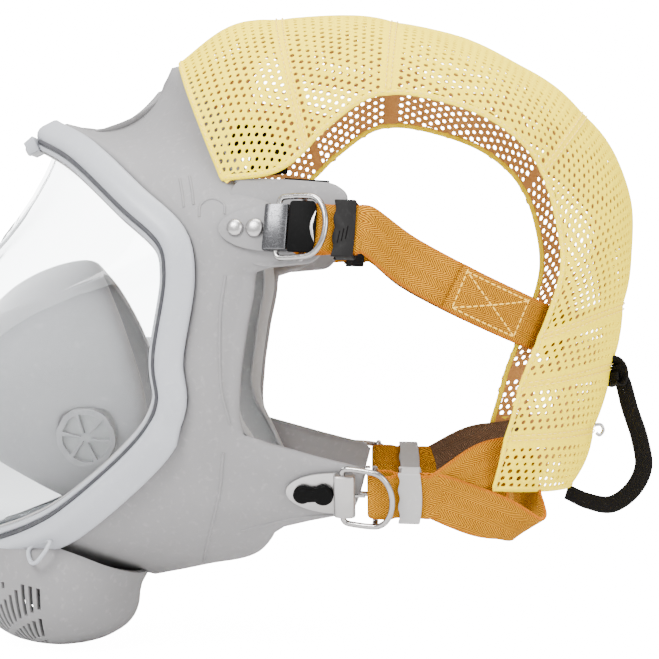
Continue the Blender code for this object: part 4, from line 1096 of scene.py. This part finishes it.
def makeCheekStrap(buckle):
    sign = buckle.sign
    outer, arc, inner = webbingRuns(buckle)
    lead, back, turns = ([flipped(p, sign) for p in cheekRun[part]]
                         for part in ("lead", "return", "returnAcross"))
    up = flipped(cheekRun["across"], sign)
    main, wide = easedRun(lead[::-1] + outer, [up] * 3 + [buckle.v] * len(outer), cheekRun["stations"])
    rest, restWide = easedRun(inner + back, [buckle.v] * len(inner) + turns, cheekRun["returnStations"])
    strap = layStrap(buckle, main, wide, arc, rest, restWide, cheekRun["shadedCount"])
    buckle.piece("SlideTop")


frameMetal = {"temple": paleRubber, "cheek": satinSteel}
rollMetal = {"temple": rollSteel, "cheek": satinSteel}
# near-black strips for the temple slide's grooves: painted shade where no groove is cut
grooveShade = moulded("grooveShade", (0.0006, 0.0002, 0.0002), (0.001, 0.0004, 0.0004), (0.002, 0.002, 0.002), 0.8)
for side in sides:
    temple, cheek = Buckle("temple", side), Buckle("cheek", side)
    makeClip(temple)
    makeClip(cheek)
    for buckle in (temple, cheek):
        makeRing(buckle)
        makeBar(buckle)
        makeStuds(buckle)
    makeSlide(temple, slidePlastic, "dark_plastic")
    makeSlide(cheek, palePlastic, "light_grey_plastic")
    makePad(temple)
    makeTongue(cheek)
    makeTempleStrap(temple)
    makeCheekStrap(cheek)
print("buckles and straps made")


# the facepiece
maskLines = {
    # half of each line from the brow to the chin, x y z in mm
    "ring": [(0, -154.5, 71.3), (38, -131.5, 58.5), (59, -109, 39), (69, -91, 22), (70.5, -88.5, 8),
             (68, -93.5, -27), (66, -92.2, -42), (61, -97, -54.5), (53.5, -111, -70.5), (41, -140.5, -94),
             (26, -164.5, -103.5), (0, -184, -107.5)],
    "face": [(0, -99, 99), (30, -86, 82), (52, -76, 59), (65, -67, 33), (68.5, -62, 8), (68, -65.5, -14),
             (66.5, -68, -34), (63, -68, -50), (58, -60, -66), (50, -52, -86), (38, -60, -104),
             (20, -86, -114), (0, -108, -121)],
    "lugs": [(74.4, -41.8, 26), (58.5, -17, -79.5)],
    "half": 97,  # stations from the brow to the chin
    "depth": 0.012,  # the lens frame's front to back
    "width": 0.010,
    "behindFrame": 0.0013,
    "step": {"below": 0.050, "over": 0.006, "wider": 0.0022, "deeper": 0.0020},  # the frame's step low down
    "browHalf": 0.075,
    "bulge": 0.0025,
    "browDip": 0.0135,
}
blankSizes = {
    "wall": 0.0028,
    "lines": [0, 0.06, 0.12, 0.19, 0.25, 0.31, 0.38, 0.44, 0.5, 0.56, 0.61, 0.67, 0.72, 0.78, 0.84, 0.90,
              0.95, 1.0, 1.08],  # from the lens frame to the rim
    "rimTurn": 0.0025,
    "lugReach": 0.0150,
    "beads": [(0.0011, 0.985), (0.0008, 0.03)],  # raised lines at the rim and at the frame: height and place
    "beadWidth": 0.03,
}


def wholeLoop(half):
    return np.array([*half, *(np.array(half[-2:0:-1]) * [-1, 1, 1])])


def unit(a):
    return a / (np.linalg.norm(a, axis=-1, keepdims=True) + 1e-15)


class MaskLoop:
    # the stations round the mask, each with its own along, front and out directions
    def __init__(self):
        self.ring = wholeLoop(smoothLine(np.array(maskLines["ring"]) / 1000, maskLines["half"]))
        self.face = wholeLoop(smoothLine(np.array(maskLines["face"]) / 1000, maskLines["half"]))
        self.count = len(self.ring)
        self.along = unit(np.roll(self.ring, -1, 0) - np.roll(self.ring, 1, 0))
        front = self.ring - self.face
        self.front = unit(front - self.along * (front * self.along).sum(1)[:, None])
        self.out = unit(np.cross(self.front, self.along))
        self.start = self.place(0, -maskLines["depth"] / 2 - maskLines["behindFrame"])
        share = np.clip(np.abs(self.ring[:, 0]) / maskLines["browHalf"], 0, 1)
        brow = np.where(self.ring[:, 2] > 0, 0.5 + 0.5 * np.cos(math.pi * share), 0)
        swell = (maskLines["bulge"] - maskLines["browDip"] * brow)[:, None]
        self.waist = self.start + (self.face - self.start) * 0.45 + self.out * swell

    def place(self, out, front):
        return self.ring + self.out * out + self.front * front

    def acrossBlank(self, t):
        # the line at this share of the way from the lens frame to the rim, through the waist
        handle = self.waist * 2 - (self.start + self.face) / 2
        s = 1 - t
        return self.start * s * s + handle * 2 * s * t + self.face * t * t


mask = MaskLoop()


def outwardNormals(grid):
    along = np.roll(grid, -1, 0) - np.roll(grid, 1, 0)
    n = unit(np.cross(along, np.gradient(grid, axis=1)))
    return -n if ((grid - grid.reshape(-1, 3).mean(0)) * n).sum() < 0 else n


def shellPiece(name, grid, wall, material, raised=0.0):
    # a wall along a closed ring of lines, its two rims rounded; raised lifts the outer face
    n = outwardNormals(grid)
    half = wall / 2
    lift = np.broadcast_to(raised, grid.shape[:2])
    outer, inner = grid + n * (half + lift)[..., None], grid - n * half
    rims = []
    for rim, inside in ((0, 1), (-1, -2)):
        edge, away = grid[:, rim][:, None], unit(grid[:, rim] - grid[:, inside])[:, None]
        above, below = (edge + (n[:, rim][:, None] * s + away) * half * 0.68 for s in (1, -1))
        rims.append((above, edge + away * half * 0.9, below))
    near, far = rims
    loops = np.concatenate([outer, *far, inner[:, ::-1], *near[::-1]], axis=1)
    return skin(name, list(loops), material, closed=True)


def makeBlank():
    places = np.array(blankSizes["lines"])
    lugs = []
    for tip in np.array(maskLines["lugs"]) / 1000:
        for sign in (1, -1):
            near = np.where(mask.face[:, 0] * sign > 0)[0]
            base = mask.waist[near[np.argmin(np.abs(mask.waist[near, 2] - tip[2]))]]
            lugs.append((base, tip * [sign, 1, 1] - base))
    lines = [mask.acrossBlank(min(t, 1.0)) for t in places]
    lines[-1] = mask.face - mask.front * blankSizes["rimTurn"]
    grid = np.stack(lines, axis=1)
    steps = np.interp(places, [0.5, 0.72, 0.90, 1.0, 1.08], [0, 0.25, 0.5, 0.75, 1.0])
    best = np.zeros(mask.count)
    reach = np.zeros((mask.count, 3))
    for base, vector in lugs:
        away = np.linalg.norm(mask.waist - base, axis=1) / blankSizes["lugReach"]
        part = np.where(away < 0.6, 1.0, np.maximum(0, 1 - (away - 0.6) / 0.75))
        share = part * part * (3 - 2 * part)
        better = share > best
        best[better] = share[better]
        reach[better] = vector
    for j in np.where(places > 0.5)[0]:
        there = mask.waist + reach * steps[j]
        grid[:, j] += (there - grid[:, j]) * best[:, None]
    rim, frameSide = (height * np.exp(-((places - place) / blankSizes["beadWidth"]) ** 2)[None, :]
                      for height, place in blankSizes["beads"])
    raised = rim * (1 - best)[:, None] + frameSide
    return shellPiece("faceBlank", grid, blankSizes["wall"], paleRubber, raised)


blank = keep(makeBlank(), "facepiece", "grey_rubber", "face_blank")


def onBlank(points, side, lift):
    # where a line seen from the side meets the blank, in y and z
    sign = sides[side]
    found = []
    for y, z in points:
        hit, p, n, _ = blank.ray_cast(Vector((0.2 * sign, y / 1000, z / 1000)), Vector((-sign, 0, 0)))
        if hit:
            found.append(np.array(p + (n if n.x * sign > 0 else -n) * lift))
    return np.array(found)


ribs = {
    # moulded lines on the blank: y and z in mm, and the radius
    "partingRidge": ([(-72, -64), (-74, -80), (-78, -95), (-82, -108), (-84, -114)], 0.0007),
    "templeRibFront": ([(-90, 48), (-88.5, 42), (-87.5, 36)], 0.0006),
    "templeRibBack": ([(-86, 49), (-84.5, 43), (-83.5, 37)], 0.0006),
    "templeArch": ([(-81, 32), (-80.5, 37), (-76, 39.5), (-71, 37), (-70.5, 33)], 0.0006),
    "cheekFold": ([(-70, 8), (-72, -6), (-72.5, -22), (-72, -38), (-69, -52)], 0.0007),
    "lowerFold": ([(-66, -98), (-52, -94), (-38, -91), (-26, -90)], 0.0007),
}
for side in sides:
    for name, (points, radius) in ribs.items():
        path = onBlank(smoothLine(points, 40), side, -radius * 0.25)
        if len(path) > 8:
            even = smoothLine(path[:: max(1, len(path) // 12)], 60)
            keep(tube(f"{name}_{side}", even, radius, paleRubber, sides=10), "facepiece", "grey_rubber")


def makeSeal():
    inner = 0.0014 + 0.0008 + 0.0009  # half the blank's wall, half the lip's and the gap
    lines = [mask.acrossBlank(t) - mask.out * inner for t in (0.66, 0.72, 0.78, 0.84, 0.9, 0.95, 1.0)]
    for front, inward in ((-0.0018, 0.0012), (-0.0022, 0.0032), (-0.0010, 0.0058), (0.0008, 0.0080)):
        lines.append(mask.face + mask.front * front - mask.out * (inner + inward))
    return shellPiece("faceSeal", np.stack(lines, axis=1), 0.0016, sealRubber)


keep(makeSeal(), "facepiece", "grey_rubber", "face_seal")


def makeLensFrame():
    # two halves of a rounded channel with a raised step low on each side
    w, d = maskLines["width"] / 2, maskLines["depth"] / 2
    count = mask.count
    half = count // 2
    size = maskLines["step"]
    low = np.clip((-mask.ring[:, 2] - size["below"]) / size["over"], 0, 1)
    step = low * low * (3 - 2 * low)
    corners = [(-w, -d), (w - 0.0018, -d), (w - 0.0005, -d + 0.0005), (w, -d + 0.0018), (w, 0.0),
               (w, d - 0.0045), (w - 0.0004, d - 0.0028), (w - 0.0014, d - 0.0013), (w - 0.0030, d - 0.0003),
               (w - 0.0048, d), (-w + 0.0018, d), (-w + 0.0005, d - 0.0005), (-w, d - 0.0018), (-w, 0.0018),
               (-w + 0.006, 0.0018), (-w + 0.006, -0.0018), (-w, -0.0018)]
    # a dark gasket line, a blue-grey bead and a bright bead inside the channel's mouth
    beads = (("Gasket", 0.0012, d + 0.0002, 0.0010, gasketRubber, "black_rubber"),
             ("Lip", -0.0012, d + 0.0010, 0.0013, framePlastic, "light_grey_plastic"),
             ("Line", -0.0030, d + 0.0019, 0.0005, palePlastic, "light_grey_plastic"))
    for side, first in (("left", 0), ("right", half)):
        loops = []
        for i in range(first, first + half + 1):
            k = i % count
            loop = []
            for n, f in corners:
                wider = size["wider"] * step[k] if n > 0 else 0.0
                deeper = size["deeper"] * step[k] if n > 0 and f < 0 else 0.0
                p = mask.ring[k] + mask.out[k] * (n + wider) + mask.front[k] * (f - deeper)
                if i in (first, first + half):
                    p = np.array([sides[side] * 0.0003, p[1], p[2]])
                loop.append(p)
            loops.append(loop)
        piece = skin(f"lensFrame_{side}", loops, framePlastic, sharp=50)
        keep(piece, "facepiece", "light_grey_plastic", f"lens_frame_{side}")
        span = np.arange(first + 1, first + half) % count
        for label, n, f, radius, look, slotName in beads:
            path = mask.ring[span] + mask.out[span] * n + mask.front[span] * f
            bead = tube(f"lens{label}_{side}", path, radius, look)
            keep(bead, "facepiece", slotName)


makeLensFrame()


def bezierCurve(a, b, c, d, t):
    s = 1 - t
    return a * s ** 3 + b * 3 * s * s * t + c * 3 * s * t * t + d * t ** 3


portCentre, portAxis = np.array([0, -0.196, -0.050]), unit(np.array([0, -0.985, -0.174]))
lensSizes = {
    "wall": 0.0024,
    "outerEdge": 0.0007,  # from the middle of the frame outwards, inside its groove
    "innerEdge": 0.0072,  # from the middle of the frame inwards
    "portEdge": 0.0244,
    "evenOver": 9,  # stations over which its directions are evened out
    "places": (0.05, 0.10, 0.19, 0.28, 0.38, 0.48, 0.58, 0.68, 0.77, 0.86, 0.93, 1.0),
}


def portPoint(direction, radius):
    flat = unit(direction - portAxis * (direction * portAxis).sum(-1, keepdims=True))
    return portCentre + flat * radius


def evened(values, spread):
    # values round the loop, each mixed with its neighbours
    out = np.zeros_like(values)
    total = 0.0
    for step in range(-2 * spread, 2 * spread + 1):
        weight = math.exp(-((step / spread) ** 2))
        out += np.roll(values, step, axis=0) * weight
        total += weight
    return out / total


def makeLens():
    spread = lensSizes["evenOver"]
    outer, inner = mask.place(lensSizes["outerEdge"], 0), mask.place(-lensSizes["innerEdge"], 0)
    side = (np.abs(mask.ring[:, 0]) / mask.ring[:, 0].max())[:, None]
    leave = unit(evened(mask.front * (0.62 + 0.36 * side) - mask.out * (0.78 - 0.62 * side), spread))
    edge = portPoint(evened(inner, spread) - portCentre, lensSizes["portEdge"])
    away = unit(edge - portCentre)
    far = np.linalg.norm(edge - inner, axis=1)[:, None]
    a, b = inner + leave * far * 0.42, edge + away * far * 0.30
    lines = [outer, (outer + inner) / 2, inner]
    lines += [bezierCurve(inner, a, b, edge, t) for t in lensSizes["places"]]
    return shellPiece("lensShell", np.stack(lines, axis=1), lensSizes["wall"], lensClear)


keep(makeLens(), "facepiece", "clear_lens", "lens")

keep(softened("nose_cup", "noseCupBody", cupRubber), "facepiece", "grey_rubber", "nose_cup")


napeLoop = {
    # x y z in mm, and the direction across the band at each point
    "path": mm((12, 92.5, -30), (12, 96, -37), (12, 99, -48), (12, 103.5, -62), (12, 105, -74),
               (12, 100, -84), (12, 91, -90), (12, 81, -88.5), (12, 72, -84.5)),
    "across": [(0.72, 0.68, 0.2), (0.70, 0.70, 0.14), (0.66, 0.74, 0.12), (0.60, 0.78, 0.05),
               (0.56, 0.78, -0.3), (0.60, 0.45, -0.66), (0.62, 0.1, -0.78), (0.66, 0, -0.75), (0.7, 0, -0.7)],
    "knot": mm((12, 88, -27), (12, 92, -27.5), (12, 94.5, -30), (12, 95.5, -34), (12, 94.5, -37.5),
               (12, 92, -37.5), (12, 91, -33)),
    "knotAcross": (0.85, 0.5, 0.15),
}
path, wide = easedRun(napeLoop["path"], napeLoop["across"], 110)
band = webbingPiece("napeLoop", path, wide, blackWebbing, 0.0016, 0.00425)
keep(band, "facepiece", "black_webbing", "nape_loop")
path, wide = easedRun(napeLoop["knot"], [napeLoop["knotAcross"]] * len(napeLoop["knot"]), 60)
keep(webbingPiece("napeLoopKnot", path, wide, blackWebbing, 0.0014, 0.0046), "facepiece", "black_webbing")

foreheadTab = {
    "path": mm((49, -70, 64), (51.5, -64, 64), (53.5, -58, 64.5), (55, -53, 65)),
    "across": (-0.45, 0.1, 0.9),
    "wall": 0.0016,
    "half": 0.0082,
}
for side, sign in sides.items():
    points = [flipped(p, sign) for p in foreheadTab["path"]]
    path, wide = easedRun(points, [flipped(foreheadTab["across"], sign)] * len(points), 40)
    tab = webbingPiece(f"foreheadTab_{side}", path, wide, padRubber, foreheadTab["wall"], foreheadTab["half"])
    keep(tab, "facepiece", "black_rubber", f"forehead_tab_{side}")

hookPath = mm((26, 82.5, -54.6), (26, 85.2, -54.6), (26, 86.2, -57), (26, 84.6, -59), (26, 83.2, -58))
keep(tube("wireHook", smoothLine(hookPath, 40), 0.0007, steel), "facepiece", "bright_steel", "wire_hook")

templeTab = {
    "outline": [(-0.0240, 0.0130), (-0.0200, 0.0222), (-0.0030, 0.0222), (0.0200, 0.0208), (0.0262, 0.0165),
                (0.0262, 0.0105), (0.0150, -0.0125), (-0.0060, -0.0150), (-0.0150, -0.0125)],
    "corner": 0.0045,
    "levels": (-0.0080, -0.0060),
    "lip": [(u, 0.0220 - 0.0009 * (u + 0.0006) / 0.0186, -0.0072) for u in np.linspace(-0.0006, 0.0180, 24)],
    "lipRadius": 0.0007,
}


def makeTempleTab(buckle):
    # the blank's rubber tab that lies under the ring and the start of the strap
    outline = rounded(templeTab["outline"], templeTab["corner"], 7)
    tab = extruded(buckle.piece("Tab"), buckle, outline, *templeTab["levels"], paleRubber, 0.0007)
    keep(tab, "facepiece", "grey_rubber", "face_blank")
    path = [buckle.p(*place) for place in templeTab["lip"]]
    lip = tube(buckle.piece("TabLip"), path, templeTab["lipRadius"], padRubber)
    keep(lip, "facepiece", "black_rubber")


for side in sides:
    makeTempleTab(Buckle("temple", side))


def slottedShell(name, grid, wall, holes, material):
    # a wall along a closed ring of lines, left open at the given cells
    grid = np.array(grid)
    rows, cols = grid.shape[:2]
    n = outwardNormals(grid)
    outer, inner = (grid + n * wall / 2).reshape(-1, 3), (grid - n * wall / 2).reshape(-1, 3)
    under = rows * cols
    faces = []
    solid = {(i, j) for i in range(rows) for j in range(cols - 1)} - set(holes)
    for i, j in sorted(solid):
        a, b = i * cols + j, (i + 1) % rows * cols + j
        faces += [(a, b, b + 1, a + 1), (a + under, a + 1 + under, b + 1 + under, b + under)]
        edges = {(i, j - 1): (a, b), (i, j + 1): (b + 1, a + 1), ((i - 1) % rows, j): (a + 1, a),
                 ((i + 1) % rows, j): (b, b + 1)}
        faces += [(q, p, p + under, q + under) for cell, (p, q) in edges.items() if cell not in solid]
    piece = meshPiece(name, [*outer, *inner], faces, material)
    easeEdges(piece, 0.0004, 2, 50)
    return piece


chinCover = {
    "middle": np.array([0, -0.152, -0.117]),
    "rim": [(0, -39, 0), (22, -27, 2), (37, -8, 3), (40, 9, -2), (31, 24, -9), (16, 33, -13),
            (0, 36, -14)],  # mm
    "deep": 0.035,
    "wall": 0.0022,
    "collar": (([0.90, 1, 1], [0, 0.004, 0.010]), ([0.96, 1, 1], [0, 0.001, 0.0045])),  # share and shift
    "slotColumns": (11, 32),
    "slotRows": (5, 21),
}


def makeChinCover():
    chin = chinCover["middle"]
    top = chin + np.array(chinCover["rim"]) / 1000
    bottom = chin - np.array([0, 0, chinCover["deep"]])
    edge = wholeLoop(smoothLine(top, 65))
    heights = [0, 0.03, 0.06, 0.10, *np.linspace(0.14, 0.64, 15), 0.70, 0.78, 0.86, 0.93, 1.0]
    grid = []
    for p in edge:
        a = p + np.array([0, 0, -1]) * abs(bottom[2] - p[2]) * 0.75
        end = bottom + (p - bottom) * 0.05
        end[2] = bottom[2]
        b = bottom + np.array([p[0], p[1] - bottom[1], 0]) * 0.60
        collar = [p * share + np.array(shift) for share, shift in chinCover["collar"]]
        grid.append(collar + [bezierCurve(p, a, b, end, t) for t in heights])
    count = len(grid)
    holes = []
    first, last = chinCover["slotColumns"]
    for k in range(count):
        near = min(k, count - 1 - k)
        if first < near < last and near % 2 == 0:
            holes += [(k, j) for j in range(*chinCover["slotRows"]) if (j + near // 2) % 8 > 1]
    cover = slottedShell("chinCover", grid, chinCover["wall"], holes, paleRubber)
    keep(cover, "facepiece", "grey_rubber", "chin_cover")


makeChinCover()

# the other CAD pieces with their edges eased
easedNodes = {
    "inlet_port": (framePlastic, "light_grey_plastic"),
    "port_nut": (framePlastic, "light_grey_plastic"),
    "port_seal": (padRubber, "black_rubber"),
    "frame_clamp": (framePlastic, "light_grey_plastic"),
    "frame_clamp_screw": (satinSteel, "bright_steel"),
    "speech_ring": (framePlastic, "light_grey_plastic"),
    "speech_diaphragm": (satinSteel, "bright_steel"),
    "exhale_seat": (framePlastic, "light_grey_plastic"),
    "exhale_disc": (sealRubber, "grey_rubber"),
    "exhale_spring": (steel, "bright_steel"),
}
for side in sides:
    easedNodes[f"strap_eyelet_{side}"] = (framePlastic, "light_grey_plastic")
    easedNodes[f"inhale_seat_{side}"] = (cupRubber, "grey_rubber")
    easedNodes[f"inhale_disc_{side}"] = (sealRubber, "grey_rubber")
bodyOf = {"exhale_disc": "exhale_valve", "inhale_disc_left": "inhale_valve_left",
          "inhale_disc_right": "inhale_valve_right"}
for node, (look, slotName) in easedNodes.items():
    label = "".join(word.capitalize() for word in node.split("_"))
    piece = bevelled(node, f"eased{label}", look, 0.0004)
    keep(piece, bodyOf.get(node, "facepiece"), slotName, node)
    if node == "exhale_spring":
        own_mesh(piece)
print("facepiece made")

# stage, light and camera
studio = {
    "floor": -0.1535,
    "floorGlow": 15.0,
    "world": 1.3,
    "worldSeen": 17.0,  # added where the camera sees the world, straight or through the lens
    "lights": {
        "keyLight": ((1.0, -0.7, 1.1), 0.7, 46),
        "fillLight": ((0.9, 0.9, 0.4), 0.7, 14),
        "topLight": ((0.0, 0.0, 1.3), 0.8, 30),
    },
    "camera": (0.8, 0, 0),
    "lookAt": (0, -0.03102, -0.01474),
}
corners = [(x * 6, y * 6, studio["floor"]) for x, y in ((-1, -1), (1, -1), (1, 1), (-1, 1))]
floorPaper, floorTree, floorShader = newMaterial("floorPaper", 0.7)
meshPiece("floor", corners, [(0, 1, 2, 3)], floorPaper)
floorShader.inputs["Base Color"].default_value = (0.9, 0.9, 0.9, 1.0)
floorShader.inputs["Emission Color"].default_value = (1, 1, 1, 1)
floorSeen = addNode(floorTree, "LightPath").outputs["Is Camera Ray"]
glow = calc(floorTree, "MULTIPLY", floorSeen, studio["floorGlow"])
floorTree.links.new(glow, floorShader.inputs["Emission Strength"])


def aimed(piece, place, target):
    piece.location = place
    piece.rotation_euler = (Vector(target) - Vector(place)).to_track_quat("-Z", "Y").to_euler()
    bpy.context.scene.collection.objects.link(piece)
    return piece


for name, (place, size, power) in studio["lights"].items():
    data = bpy.data.lights.new(name, "AREA")
    data.shape = "RECTANGLE"
    data.size = data.size_y = size
    data.energy = power
    aimed(bpy.data.objects.new(name, data), place, (0, 0, 0))

world = bpy.data.worlds.new("studio")
world.use_nodes = True
bpy.context.scene.world = world
tree = world.node_tree
backdrop = tree.nodes["Background"]
backdrop.inputs["Color"].default_value = (1, 1, 1, 1)
rays = addNode(tree, "LightPath")
direct = calc(tree, "LESS_THAN", rays.outputs["Diffuse Depth"], 0.5)
through = calc(tree, "MULTIPLY", rays.outputs["Is Transmission Ray"], direct)
seen = calc(tree, "MAXIMUM", rays.outputs["Is Camera Ray"], through)
strength = calc(tree, "MULTIPLY_ADD", seen, studio["worldSeen"], studio["world"])
tree.links.new(strength, backdrop.inputs["Strength"])

camera = bpy.data.cameras.new("mainCamera")
camera.sensor_width = 36
camera.lens = 99.3
cameraPiece = bpy.data.objects.new("mainCamera", camera)
bpy.context.scene.camera = aimed(cameraPiece, studio["camera"], studio["lookAt"])

print("scene ready")
